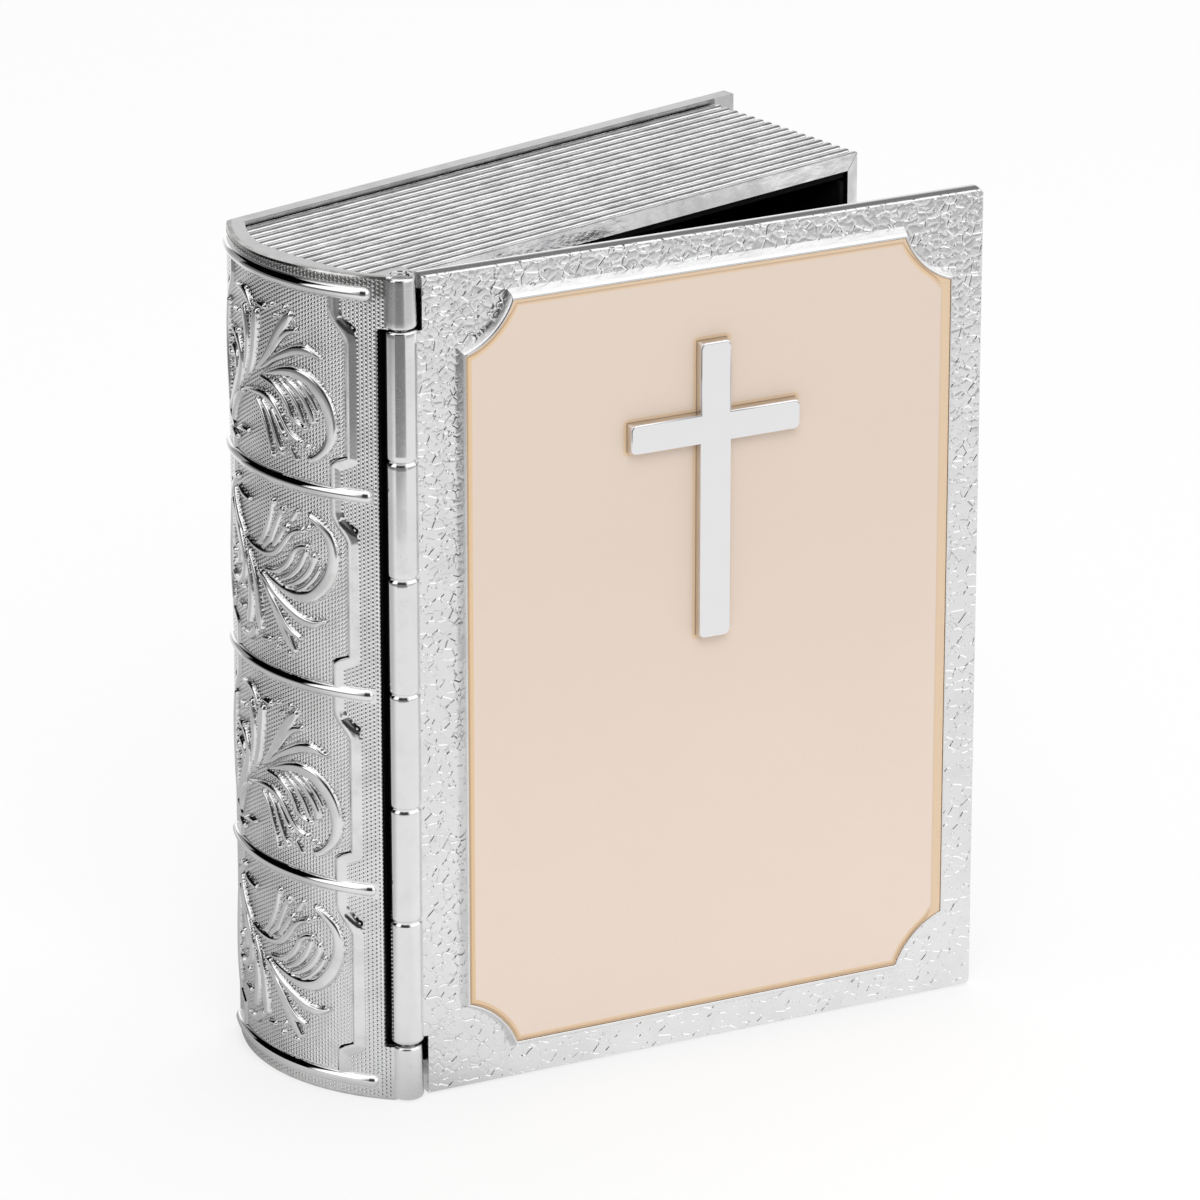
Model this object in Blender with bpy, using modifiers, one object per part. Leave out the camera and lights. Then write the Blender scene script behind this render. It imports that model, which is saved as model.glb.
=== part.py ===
# Book-shaped trinket box, standing on end, with its front cover a little open.
# Metres, +Z up. The origin is the middle of the back board's lower edge, on the standing surface.
# +Y points out of the back board, +X away from the spine, and the cover faces -Y.
import math

import bmesh
import bpy
from mathutils import Vector

# The case: back board and rounded spine
CASE_HEIGHT = 0.0700
CASE_DEPTH = 0.0200
BOARD_WIDTH = 0.0528
BOARD_THICKNESS = 0.0012
SPINE_BULGE = 0.0036
SPINE_WALL = 0.0022
SPINE_STEPS = 36

# The five raised bands across the spine, and the raised frames between them
BAND_COUNT = 5
BAND_END_MARGIN = 0.0015
BAND_EDGE_MARGIN = 0.00125
BAND_RADIUS = 0.0006
BAND_HEIGHT = 0.00040
BAND_STEPS = 20
FRAME_RADIUS = 0.0006
FRAME_HEIGHT = 0.00018
FRAME_EDGE_MARGIN = 0.0029
FRAME_END_EDGE_MARGIN = 0.0042
FRAME_SLANT_START = 0.00215
FRAME_SLANT_END = 0.00315

# The ribbed strips that stand for the pages
PAGE_MARGIN = 0.00215
PAGE_RECESS = 0.00073
PAGE_WALL = 0.0011
PAGE_RIB_COUNT = 17
PAGE_GROOVE = 0.0003
RIB_STEPS = 4

# The hinge
HINGE_INSET = 0.00138
KNUCKLE_RADIUS = 0.00122
UPPER_KNUCKLE_HEIGHT = 0.0043
LOWER_KNUCKLE_HEIGHT = 0.0047
KNUCKLE_EDGE = 0.00025
KNUCKLE_SETBACK = 0.0001
KNUCKLE_STEPS = 32
BARREL_END_GAP = 0.00025
BARREL_CLEARANCE = 0.00063
RING_COUNT = 5
RING_END_MARGIN = 0.01069
RING_WIDTH = 0.00035
RING_DEPTH = 0.00014
HINGE_RAIL_WALL = 0.0007
PIN_RADIUS = 0.00072
PIN_REACH = 0.0045
PIN_CLEARANCE = 0.00005
PIN_SETBACK = 0.00005
PIN_STEPS = 24
COVER_OPEN_DEGREES = 14.7

# The front cover
COVER_THICKNESS = 0.00145
COVER_FACE_STAND = 0.0006
COVER_HINGE_GAP = 0.0016
COVER_SETBACK = 0.00015
COVER_CORNER = 0.0003
COVER_EDGE = 0.00015
COVER_CLOSING_GAP = 0.0001
COVER_WEB_STAND = 0.00045

# The raised moulding, the enamel and the cross
PANEL_SIDE_MARGIN = 0.00378
PANEL_TOP_MARGIN = 0.00292
PANEL_BOTTOM_MARGIN = 0.00342
NOTCH_RADIUS = 0.0067
NOTCH_OFFSET = 0.00223
NOTCH_STEPS = 8
MOULDING_HEIGHT = 0.0009
MOULDING_RUN = 0.0006
MOULDING_RIM = 0.00018
ENAMEL_DROP = 0.00006
CROSS_BAR = 0.0027
CROSS_ARM_BAR = 0.00245
CROSS_HEIGHT = 0.0250
CROSS_SPAN = 0.0150
CROSS_TOP_MARGIN = 0.00583
CROSS_ARM_DROP = 0.0072
CROSS_PROUD = 0.00085
CROSS_EDGE = 0.0001

# The black velvet lining
LINING_THICKNESS = 0.0005
COVER_LINING_THICKNESS = 0.0004
COVER_LINING_MARGIN = 0.0014

# Fits
SEAT_GAP = 0.0003
OVERRUN = 0.0005
WELD = 0.000001

# Places worked out from the sizes above
BOARD_RIGHT = BOARD_WIDTH / 2
BOARD_LEFT = -BOARD_RIGHT
BOARD_BACK = BOARD_THICKNESS / 2
BOARD_INNER = -BOARD_BACK
CASE_FRONT = BOARD_BACK - CASE_DEPTH
SPINE_RADIUS = ((CASE_DEPTH / 2) ** 2 + SPINE_BULGE ** 2) / (2 * SPINE_BULGE)
SPINE_INNER_RADIUS = SPINE_RADIUS - SPINE_WALL
SPINE_Y = BOARD_BACK - CASE_DEPTH / 2
SPINE_X = BOARD_LEFT - SPINE_BULGE + SPINE_RADIUS
SPINE_HALF_ARC = SPINE_RADIUS * math.asin(CASE_DEPTH / 2 / SPINE_RADIUS)
BAND_REACH = SPINE_HALF_ARC - BAND_EDGE_MARGIN
BAND_PITCH = (CASE_HEIGHT - 2 * BAND_END_MARGIN) / (BAND_COUNT - 1)
FRAME_SIDE = SPINE_HALF_ARC - FRAME_EDGE_MARGIN
FRAME_END_SIDE = SPINE_HALF_ARC - FRAME_END_EDGE_MARGIN

HINGE_X = BOARD_LEFT + HINGE_INSET
HINGE_Y = CASE_FRONT
BARREL_BOTTOM = LOWER_KNUCKLE_HEIGHT + BARREL_END_GAP
BARREL_TOP = CASE_HEIGHT - UPPER_KNUCKLE_HEIGHT - BARREL_END_GAP
RING_PITCH = (BARREL_TOP - BARREL_BOTTOM - 2 * RING_END_MARGIN) / (RING_COUNT - 1)
SPINE_LIP = HINGE_X + KNUCKLE_RADIUS
GROOVE_RADIUS = KNUCKLE_RADIUS + BARREL_CLEARANCE
RAIL_BACK = HINGE_Y + GROOVE_RADIUS + HINGE_RAIL_WALL

COVER_BOTTOM = COVER_SETBACK
COVER_TOP = CASE_HEIGHT - COVER_SETBACK
COVER_WIDTH = BOARD_RIGHT - COVER_SETBACK - HINGE_X - COVER_HINGE_GAP
COVER_HEIGHT = COVER_TOP - COVER_BOTTOM
COVER_BACK_STAND = COVER_THICKNESS - COVER_FACE_STAND
PANEL_WIDTH = COVER_WIDTH - 2 * PANEL_SIDE_MARGIN
PANEL_HEIGHT = COVER_HEIGHT - PANEL_TOP_MARGIN - PANEL_BOTTOM_MARGIN
PANEL_MIDDLE_X = COVER_HINGE_GAP + COVER_WIDTH / 2
PANEL_MIDDLE_Z = COVER_BOTTOM + PANEL_BOTTOM_MARGIN + PANEL_HEIGHT / 2
CROSS_TOP = COVER_TOP - PANEL_TOP_MARGIN - CROSS_TOP_MARGIN

PAGE_TOP = CASE_HEIGHT - PAGE_RECESS
PAGE_BOTTOM = PAGE_RECESS
PAGE_FORE_EDGE = BOARD_RIGHT - PAGE_MARGIN
PAGE_BACK = BOARD_INNER - SEAT_GAP
PAGE_FRONT = HINGE_Y + COVER_BACK_STAND + COVER_CLOSING_GAP
ROOM_TOP = PAGE_TOP - PAGE_WALL
ROOM_BOTTOM = PAGE_BOTTOM + PAGE_WALL
ROOM_RIGHT = PAGE_FORE_EDGE - PAGE_WALL


def clear_scene():
    for old in list(bpy.data.objects):
        bpy.data.objects.remove(old)


clear_scene()
PARTS = bpy.data.collections.new("trinket_box")
CUTTERS = bpy.data.collections.new("cutters")
bpy.context.scene.collection.children.link(PARTS)
bpy.context.scene.collection.children.link(CUTTERS)


def plain_material(name, colour, roughness, metallic):
    material = bpy.data.materials.new(name)
    material.use_nodes = True
    shader = material.node_tree.nodes["Principled BSDF"]
    shader.inputs["Base Color"].default_value = (*colour, 1.0)
    shader.inputs["Roughness"].default_value = roughness
    shader.inputs["Metallic"].default_value = metallic
    material.diffuse_color = (*colour, 1.0)
    return material


def finish(piece, material):
    """Files a finished piece with the parts and gives it its material."""
    PARTS.objects.link(piece)
    piece.data.materials.clear()
    piece.data.materials.append(material)
    piece.data.shade_smooth()
    piece.data.set_sharp_from_angle(angle=math.radians(35))
    return piece


def as_tool(piece):
    """Files a shape that only cuts or joins others."""
    CUTTERS.objects.link(piece)
    piece.hide_render = True
    piece.display_type = "WIRE"
    return piece


def combine(piece, tool, operation):
    modifier = piece.modifiers.new(operation.lower(), "BOOLEAN")
    modifier.operation = operation
    modifier.object = tool


def join(piece, tool):
    combine(piece, as_tool(tool), "UNION")


def cut(piece, tool):
    combine(piece, as_tool(tool), "DIFFERENCE")


def keep_inside(piece, tool):
    combine(piece, as_tool(tool), "INTERSECT")


def curve_mesh(name, curve_object):
    """Turns a curve object into a closed mesh object in the same place."""
    bpy.context.scene.collection.objects.link(curve_object)
    bpy.context.view_layer.update()
    evaluated = curve_object.evaluated_get(bpy.context.evaluated_depsgraph_get())
    mesh = bpy.data.meshes.new_from_object(evaluated)
    shape = bmesh.new()
    shape.from_mesh(mesh)
    bmesh.ops.remove_doubles(shape, verts=shape.verts, dist=WELD)
    shape.to_mesh(mesh)
    shape.free()
    place = curve_object.matrix_world.copy()
    bpy.data.objects.remove(curve_object)
    piece = bpy.data.objects.new(name, mesh)
    piece.matrix_world = place
    return piece


def slab(name, outline, thickness, place=(0, 0, 0), turn=(0, 0, 0)):
    """A flat outline, filled and given its thickness to both sides of its own plane."""
    curve = bpy.data.curves.new(name, "CURVE")
    curve.dimensions = "2D"
    curve.fill_mode = "BOTH"
    curve.extrude = thickness / 2
    spline = curve.splines.new("POLY")
    spline.points.add(len(outline) - 1)
    for point, (x, y) in zip(spline.points, outline):
        point.co = (x, y, 0, 1)
    spline.use_cyclic_u = True
    holder = bpy.data.objects.new(name, curve)
    holder.location = place
    holder.rotation_euler = turn
    return curve_mesh(name, holder)


def upright(name, outline, bottom, top):
    """A plan outline that stands from one height to another."""
    return slab(name, outline, top - bottom, (0, 0, (bottom + top) / 2))


def block(name, low, high):
    """A plain block between two corners, as a cube primitive stretched to size."""
    low = Vector(low)
    high = Vector(high)
    shape = bmesh.new()
    bmesh.ops.create_cube(shape, size=1)
    bmesh.ops.scale(shape, vec=high - low, verts=shape.verts)
    mesh = bpy.data.meshes.new(name)
    shape.to_mesh(mesh)
    shape.free()
    piece = bpy.data.objects.new(name, mesh)
    piece.location = (low + high) / 2
    return piece


def turned(name, profile, steps, place=(0, 0, 0)):
    """A profile of (radius, height) points, from top to bottom, turned round the upright axis."""
    mesh = bpy.data.meshes.new(name)
    shape = bmesh.new()
    corners = [shape.verts.new((radius, 0, height)) for radius, height in profile]
    for first, second in zip(corners, corners[1:]):
        shape.edges.new((first, second))
    shape.to_mesh(mesh)
    shape.free()
    piece = bpy.data.objects.new(name, mesh)
    piece.location = place
    screw = piece.modifiers.new("turn", "SCREW")
    screw.axis = "Z"
    screw.angle = math.tau
    screw.steps = steps
    screw.render_steps = steps
    screw.use_merge_vertices = True
    screw.merge_threshold = WELD
    return piece


def rod(name, radius, bottom, top, steps, place=(0, 0, 0)):
    return turned(name, [(0, top), (radius, top), (radius, bottom), (0, bottom)], steps, place)


def arc(centre, radius, start, end, steps):
    """Points on a circle from one angle to another, both ends included."""
    points = []
    for step in range(steps + 1):
        angle = start + (end - start) * step / steps
        points.append((centre[0] + radius * math.cos(angle), centre[1] + radius * math.sin(angle)))
    return points


def tube_on_spine(name, route, radius, height):
    """A round bar laid along the spine, sunk so that only its height stands out.

    The route holds (arc length from the spine's middle line, height above the base, bar size) points.
    """
    curve = bpy.data.curves.new(name, "CURVE")
    curve.dimensions = "3D"
    curve.bevel_depth = radius
    curve.bevel_resolution = 1
    curve.use_fill_caps = True
    spline = curve.splines.new("POLY")
    spline.points.add(len(route) - 1)
    run = SPINE_RADIUS + height - radius
    for point, (along, z, size) in zip(spline.points, route):
        angle = math.pi + along / SPINE_RADIUS
        point.co = (SPINE_X + run * math.cos(angle), SPINE_Y + run * math.sin(angle), z, 1)
        point.radius = size
    return curve_mesh(name, bpy.data.objects.new(name, curve))


def spine_angle(radius, y):
    """The angle at which a circle round the spine's centre reaches a given y, on the spine's side."""
    return math.pi + math.asin((SPINE_Y - y) / radius)


def case_outline():
    """The plan of the back board and the spine wall, up to the spine's front lip."""
    inner_end = SPINE_Y - math.sqrt(SPINE_INNER_RADIUS ** 2 - (SPINE_X - SPINE_LIP) ** 2)
    centre = (SPINE_X, SPINE_Y)
    outer = arc(centre, SPINE_RADIUS, spine_angle(SPINE_RADIUS, BOARD_BACK),
                spine_angle(SPINE_RADIUS, CASE_FRONT), SPINE_STEPS)
    inner = arc(centre, SPINE_INNER_RADIUS, spine_angle(SPINE_INNER_RADIUS, inner_end),
                spine_angle(SPINE_INNER_RADIUS, BOARD_INNER), SPINE_STEPS)
    return [(BOARD_RIGHT, BOARD_BACK), *outer, (SPINE_LIP, CASE_FRONT), *inner, (BOARD_RIGHT, BOARD_INNER)]


def band_route(z):
    """Across the spine at one height, with the tips of the bar rounded off."""
    tip = [(BAND_REACH - BAND_RADIUS * (1 - math.sin(angle)), z, math.cos(angle))
           for angle in (math.radians(degrees) for degrees in (25, 50, 75))]
    body = [((2 * step / BAND_STEPS - 1) * (BAND_REACH - BAND_RADIUS), z, 1)
            for step in range(BAND_STEPS + 1)]
    start = [(-along, z, size) for along, z, size in reversed(tip)]
    return start + body + tip


def band_height(number):
    return BAND_END_MARGIN + number * BAND_PITCH


def frame_route(side):
    """One long side of the raised frames, from the lowest band to the highest.

    It is wide in the middle of each panel, and drawn in with a slant near both bands.
    """
    points = [(FRAME_END_SIDE, band_height(0))]
    for number in range(BAND_COUNT - 1):
        bottom = band_height(number)
        top = band_height(number + 1)
        points.append((FRAME_END_SIDE, bottom + FRAME_SLANT_START))
        points.append((FRAME_SIDE, bottom + FRAME_SLANT_END))
        points.append((FRAME_SIDE, top - FRAME_SLANT_END))
        points.append((FRAME_END_SIDE, top - FRAME_SLANT_START))
    points.append((FRAME_END_SIDE, band_height(BAND_COUNT - 1)))
    return [(side * along, z, 1) for along, z in points]


def knuckle(name, bottom, top):
    """One of the case's two end knuckles, with softened end edges."""
    face = KNUCKLE_RADIUS - KNUCKLE_EDGE
    profile = [(0, top), (face, top), (KNUCKLE_RADIUS, top - KNUCKLE_EDGE),
               (KNUCKLE_RADIUS, bottom + KNUCKLE_EDGE), (face, bottom), (0, bottom)]
    return turned(name, profile, KNUCKLE_STEPS, (HINGE_X, HINGE_Y, 0))


def make_case(material):
    case = upright("case_shell", case_outline(), 0, CASE_HEIGHT)
    rail_top = ROOM_TOP - SEAT_GAP
    rail_bottom = ROOM_BOTTOM + SEAT_GAP
    rail_left = SPINE_X - math.sqrt((SPINE_RADIUS - SPINE_WALL / 2) ** 2 - (SPINE_Y - RAIL_BACK) ** 2)
    rail_front = CASE_FRONT + KNUCKLE_RADIUS / 2
    join(case, block("hinge_rail", (rail_left, rail_front, rail_bottom),
                     (SPINE_LIP - WELD, RAIL_BACK, rail_top)))
    for side in (1, -1):
        join(case, tube_on_spine("panel_frame", frame_route(side), FRAME_RADIUS, FRAME_HEIGHT))
    for number in range(BAND_COUNT):
        route = band_route(band_height(number))
        join(case, tube_on_spine("raised_band", route, BAND_RADIUS, BAND_HEIGHT))
    join(case, knuckle("lower_knuckle", KNUCKLE_SETBACK, LOWER_KNUCKLE_HEIGHT))
    join(case, knuckle("upper_knuckle", CASE_HEIGHT - UPPER_KNUCKLE_HEIGHT, CASE_HEIGHT - KNUCKLE_SETBACK))
    cut(case, rod("barrel_room", GROOVE_RADIUS, LOWER_KNUCKLE_HEIGHT, CASE_HEIGHT - UPPER_KNUCKLE_HEIGHT,
                  KNUCKLE_STEPS, (HINGE_X, HINGE_Y, 0)))
    cut(case, rod("pin_bore", PIN_RADIUS + PIN_CLEARANCE, -OVERRUN, CASE_HEIGHT + OVERRUN,
                  PIN_STEPS, (HINGE_X, HINGE_Y, 0)))
    return finish(case, material)


def rib_outline(depth, wall):
    """The section of a ribbed strip: a flat inner face, and rounded ribs on the outer one."""
    pitch = depth / PAGE_RIB_COUNT
    points = [(0, -wall)]
    for rib in range(PAGE_RIB_COUNT):
        for step in range(RIB_STEPS):
            angle = math.pi * step / RIB_STEPS
            across = pitch * (rib + (1 - math.cos(angle)) / 2)
            points.append((across, -PAGE_GROOVE * (1 - math.sin(angle))))
    points.append((depth, -PAGE_GROOVE))
    points.append((depth, -wall))
    return points


def mitre(piece, corner, direction):
    """Cuts a piece at a plane through a corner and closes the cut; the direction's side goes."""
    to_local = piece.matrix_world.inverted()
    shape = bmesh.new()
    shape.from_mesh(piece.data)
    result = bmesh.ops.bisect_plane(
        shape, geom=shape.verts[:] + shape.edges[:] + shape.faces[:], dist=WELD,
        plane_co=to_local @ Vector(corner), plane_no=to_local.to_3x3() @ Vector(direction),
        clear_outer=True)
    rim = [item for item in result["geom_cut"] if isinstance(item, bmesh.types.BMEdge)]
    bmesh.ops.holes_fill(shape, edges=rim)
    shape.to_mesh(piece.data)
    shape.free()


def page_room(name, radius, right):
    """The plan that lies inside the spine wall, in front of the back board."""
    front = HINGE_Y - OVERRUN
    side = arc((SPINE_X, SPINE_Y), radius, spine_angle(radius, front),
               spine_angle(radius, BOARD_BACK), SPINE_STEPS)
    outline = [*side, (right, BOARD_BACK), (right, front)]
    return upright(name, outline, -OVERRUN, CASE_HEIGHT + OVERRUN)


def make_page_strips(material):
    depth = PAGE_BACK - PAGE_FRONT
    outline = rib_outline(depth, PAGE_WALL)
    length = PAGE_FORE_EDGE - SPINE_X + SPINE_RADIUS
    middle = PAGE_FORE_EDGE - length / 2
    slip = SEAT_GAP / math.sqrt(2)
    quarter = math.pi / 2
    head = slab("head_page_strip", outline, length, (middle, PAGE_FRONT, PAGE_TOP), (quarter, 0, quarter))
    tail = slab("tail_page_strip", [(depth - along, level) for along, level in outline], length,
                (middle, PAGE_BACK, PAGE_BOTTOM), (quarter, math.pi, quarter))
    fore_edge = slab("fore_edge_page_strip", outline, CASE_HEIGHT,
                     (PAGE_FORE_EDGE, PAGE_FRONT, CASE_HEIGHT / 2), (math.pi, 0, quarter))
    bpy.context.view_layer.update()
    mitre(head, (PAGE_FORE_EDGE - slip, 0, PAGE_TOP), (1, 0, -1))
    mitre(fore_edge, (PAGE_FORE_EDGE, 0, PAGE_TOP - slip), (-1, 0, 1))
    mitre(fore_edge, (PAGE_FORE_EDGE, 0, PAGE_BOTTOM + slip), (-1, 0, -1))
    mitre(tail, (PAGE_FORE_EDGE - slip, 0, PAGE_BOTTOM), (1, 0, 1))
    for strip in (head, tail):
        keep_inside(strip, page_room("spine_side", SPINE_INNER_RADIUS - SEAT_GAP, BOARD_RIGHT))
    for strip in (head, fore_edge, tail):
        finish(strip, material)


def make_linings(material):
    """Velvet on card: the floor goes in first, then the spine piece, then the three walls."""
    floor_back = PAGE_BACK
    floor_front = floor_back - LINING_THICKNESS
    top = ROOM_TOP - SEAT_GAP
    bottom = ROOM_BOTTOM + SEAT_GAP
    right = ROOM_RIGHT - SEAT_GAP
    radius = SPINE_INNER_RADIUS - SEAT_GAP
    floor_left = SPINE_X + radius * math.cos(spine_angle(radius, floor_front)) + SEAT_GAP
    floor = block("lining_floor", (floor_left, floor_front, bottom), (right, floor_back, top))
    finish(floor, material)

    wall_back = floor_front - SEAT_GAP
    inner_radius = radius - LINING_THICKNESS
    centre = (SPINE_X, SPINE_Y)
    outside = arc(centre, radius, spine_angle(radius, wall_back),
                  spine_angle(radius, RAIL_BACK + SEAT_GAP), SPINE_STEPS)
    inside = arc(centre, inner_radius, spine_angle(inner_radius, RAIL_BACK + SEAT_GAP),
                 spine_angle(inner_radius, wall_back), SPINE_STEPS)
    finish(upright("lining_spine", outside + inside, bottom, top), material)

    wall_front = PAGE_FRONT + SEAT_GAP
    wall_radius = inner_radius - SEAT_GAP
    wall_left = max(SPINE_X + wall_radius * math.cos(spine_angle(wall_radius, wall_front)),
                    SPINE_LIP + SEAT_GAP)
    side = arc(centre, wall_radius, spine_angle(wall_radius, RAIL_BACK + SEAT_GAP),
               spine_angle(wall_radius, wall_back), SPINE_STEPS)
    wall = [(wall_left, wall_front), (wall_left, RAIL_BACK + SEAT_GAP), *side,
            (right, wall_back), (right, wall_front)]
    finish(upright("lining_head", wall, top - LINING_THICKNESS, top), material)
    finish(upright("lining_tail", wall, bottom, bottom + LINING_THICKNESS), material)
    fore_edge = block("lining_fore_edge",
                      (right - LINING_THICKNESS, wall_front, bottom + LINING_THICKNESS + SEAT_GAP),
                      (right, wall_back, top - LINING_THICKNESS - SEAT_GAP))
    finish(fore_edge, material)


def notched_outline(grow):
    """The panel's outline with shallow hollow corners, moved outwards by a distance."""
    centre = (PANEL_WIDTH / 2 + NOTCH_OFFSET, PANEL_HEIGHT / 2 + NOTCH_OFFSET)
    radius = NOTCH_RADIUS - grow
    swing = math.asin((NOTCH_OFFSET - grow) / radius)
    points = []
    for sign_x, sign_z in ((1, 1), (-1, 1), (-1, -1), (1, -1)):
        corner = arc(centre, radius, 1.5 * math.pi - swing, math.pi + swing, NOTCH_STEPS)
        if sign_x * sign_z < 0:
            corner.reverse()
        points += [(sign_x * x, sign_z * z) for x, z in corner]
    return points


def make_moulding(name):
    """The raised moulding: outlines at four stages, bridged into one closed ring."""
    base = -COVER_FACE_STAND
    face = base - MOULDING_HEIGHT
    waist = MOULDING_RIM + (MOULDING_RUN - MOULDING_RIM) / 2
    shoulder = base - MOULDING_HEIGHT * 3 / 4
    stages = [(0, base + OVERRUN), (0, face), (MOULDING_RIM, face), (waist, shoulder),
              (MOULDING_RUN, base), (MOULDING_RUN, base + OVERRUN)]
    shape = bmesh.new()
    loops = []
    for grow, y in stages:
        corners = [shape.verts.new((PANEL_MIDDLE_X + x, y, PANEL_MIDDLE_Z + z))
                   for x, z in notched_outline(grow)]
        loops.append([shape.edges.new((first, second))
                      for first, second in zip(corners, corners[1:] + corners[:1])])
    for first, second in zip(loops, loops[1:] + loops[:1]):
        bmesh.ops.bridge_loops(shape, edges=first + second)
    bmesh.ops.recalc_face_normals(shape, faces=shape.faces)
    mesh = bpy.data.meshes.new(name)
    shape.to_mesh(mesh)
    shape.free()
    return bpy.data.objects.new(name, mesh)


def barrel_profile():
    """The long barrel from top to bottom, with a V groove for each ring line."""
    profile = [(0, BARREL_TOP), (KNUCKLE_RADIUS, BARREL_TOP)]
    for number in range(RING_COUNT):
        z = BARREL_TOP - RING_END_MARGIN - number * RING_PITCH
        profile.append((KNUCKLE_RADIUS, z + RING_WIDTH / 2))
        profile.append((KNUCKLE_RADIUS - RING_DEPTH, z))
        profile.append((KNUCKLE_RADIUS, z - RING_WIDTH / 2))
    profile.append((KNUCKLE_RADIUS, BARREL_BOTTOM + KNUCKLE_EDGE))
    profile.append((KNUCKLE_RADIUS - KNUCKLE_EDGE, BARREL_BOTTOM))
    profile.append((0, BARREL_BOTTOM))
    return profile


def cover_outline():
    """The plate's outline in its own plane, with the two free corners rounded."""
    left = COVER_HINGE_GAP
    right = COVER_HINGE_GAP + COVER_WIDTH
    lower = arc((right - COVER_CORNER, COVER_BOTTOM + COVER_CORNER), COVER_CORNER,
                -math.pi / 2, 0, NOTCH_STEPS)
    upper = arc((right - COVER_CORNER, COVER_TOP - COVER_CORNER), COVER_CORNER,
                0, math.pi / 2, NOTCH_STEPS)
    return [(left, COVER_BOTTOM), *lower, *upper, (left, COVER_TOP)]


def make_cover(material, hinge):
    """Plate, barrel, web and moulding in one, laid out from the hinge axis with the cover closed."""
    plate_middle = (COVER_BACK_STAND - COVER_FACE_STAND) / 2
    cover = slab("front_cover", cover_outline(), COVER_THICKNESS, (0, plate_middle, 0),
                 (math.pi / 2, 0, 0))
    edge = cover.modifiers.new("soft_edges", "BEVEL")
    edge.width = COVER_EDGE
    edge.segments = 2
    edge.limit_method = "ANGLE"
    edge.angle_limit = math.radians(60)
    web_back = COVER_BACK_STAND - COVER_EDGE
    web = block("web", (0, -COVER_WEB_STAND, BARREL_BOTTOM + KNUCKLE_EDGE),
                (COVER_HINGE_GAP + OVERRUN, web_back, BARREL_TOP - KNUCKLE_EDGE))
    join(cover, web)
    join(cover, turned("barrel", barrel_profile(), KNUCKLE_STEPS))
    join(cover, make_moulding("moulding"))
    bore = PIN_RADIUS + PIN_CLEARANCE
    cut(cover, rod("upper_bore", bore, BARREL_TOP - PIN_REACH - SEAT_GAP, CASE_HEIGHT, PIN_STEPS))
    cut(cover, rod("lower_bore", bore, 0, BARREL_BOTTOM + PIN_REACH + SEAT_GAP, PIN_STEPS))
    for tool in cover.modifiers:
        if tool.type == "BOOLEAN":
            tool.object.parent = hinge
    cover.parent = hinge
    return finish(cover, material)


def cross_outline(grow):
    """A plain upright cross, in the cover's plane, moved outwards by a distance."""
    bar = CROSS_BAR / 2 + grow
    arm_bar = CROSS_ARM_BAR / 2 + grow
    arm = CROSS_SPAN / 2 + grow
    foot = CROSS_TOP - CROSS_HEIGHT - grow
    top = CROSS_TOP + grow
    level = CROSS_TOP - CROSS_ARM_DROP
    half = [(bar, foot), (bar, level - arm_bar), (arm, level - arm_bar), (arm, level + arm_bar),
            (bar, level + arm_bar), (bar, top)]
    mirrored = [(-x, z) for x, z in reversed(half)]
    return [(PANEL_MIDDLE_X + x, z) for x, z in half + mirrored]


def make_panel(enamel_material, metal_material, hinge):
    face = -COVER_FACE_STAND
    enamel_front = face - MOULDING_HEIGHT + ENAMEL_DROP
    enamel_back = face - SEAT_GAP
    outline = [(PANEL_MIDDLE_X + x, PANEL_MIDDLE_Z + z) for x, z in notched_outline(-SEAT_GAP)]
    enamel = slab("enamel_panel", outline, enamel_back - enamel_front,
                  (0, (enamel_back + enamel_front) / 2, 0), (math.pi / 2, 0, 0))
    opening = slab("cross_opening", cross_outline(SEAT_GAP), 2 * MOULDING_HEIGHT,
                   (0, face - MOULDING_HEIGHT / 2, 0), (math.pi / 2, 0, 0))
    cut(enamel, opening)
    opening.parent = hinge
    enamel.parent = hinge
    finish(enamel, enamel_material)

    cross_front = enamel_front - CROSS_PROUD
    cross = slab("cross", cross_outline(0), enamel_back - cross_front,
                 (0, (enamel_back + cross_front) / 2, 0), (math.pi / 2, 0, 0))
    edge = cross.modifiers.new("soft_edges", "BEVEL")
    edge.width = CROSS_EDGE
    edge.segments = 2
    edge.limit_method = "ANGLE"
    edge.angle_limit = math.radians(60)
    cross.parent = hinge
    finish(cross, metal_material)


def make_cover_lining(material, hinge):
    """Velvet on the inside of the cover, small enough to go into the mouth of the box."""
    back = COVER_BACK_STAND + SEAT_GAP
    side = LINING_THICKNESS + SEAT_GAP + COVER_LINING_MARGIN
    left = SPINE_LIP - HINGE_X + side
    right = ROOM_RIGHT - HINGE_X - side
    lining = block("cover_lining", (left, back, ROOM_BOTTOM + side),
                   (right, back + COVER_LINING_THICKNESS, ROOM_TOP - side))
    lining.parent = hinge
    finish(lining, material)


def make_pins(material):
    place = (HINGE_X, HINGE_Y, 0)
    upper = rod("upper_hinge_pin", PIN_RADIUS, BARREL_TOP - PIN_REACH,
                CASE_HEIGHT - KNUCKLE_SETBACK - PIN_SETBACK, PIN_STEPS, place)
    lower = rod("lower_hinge_pin", PIN_RADIUS, KNUCKLE_SETBACK + PIN_SETBACK,
                BARREL_BOTTOM + PIN_REACH, PIN_STEPS, place)
    finish(upper, material)
    finish(lower, material)


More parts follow.
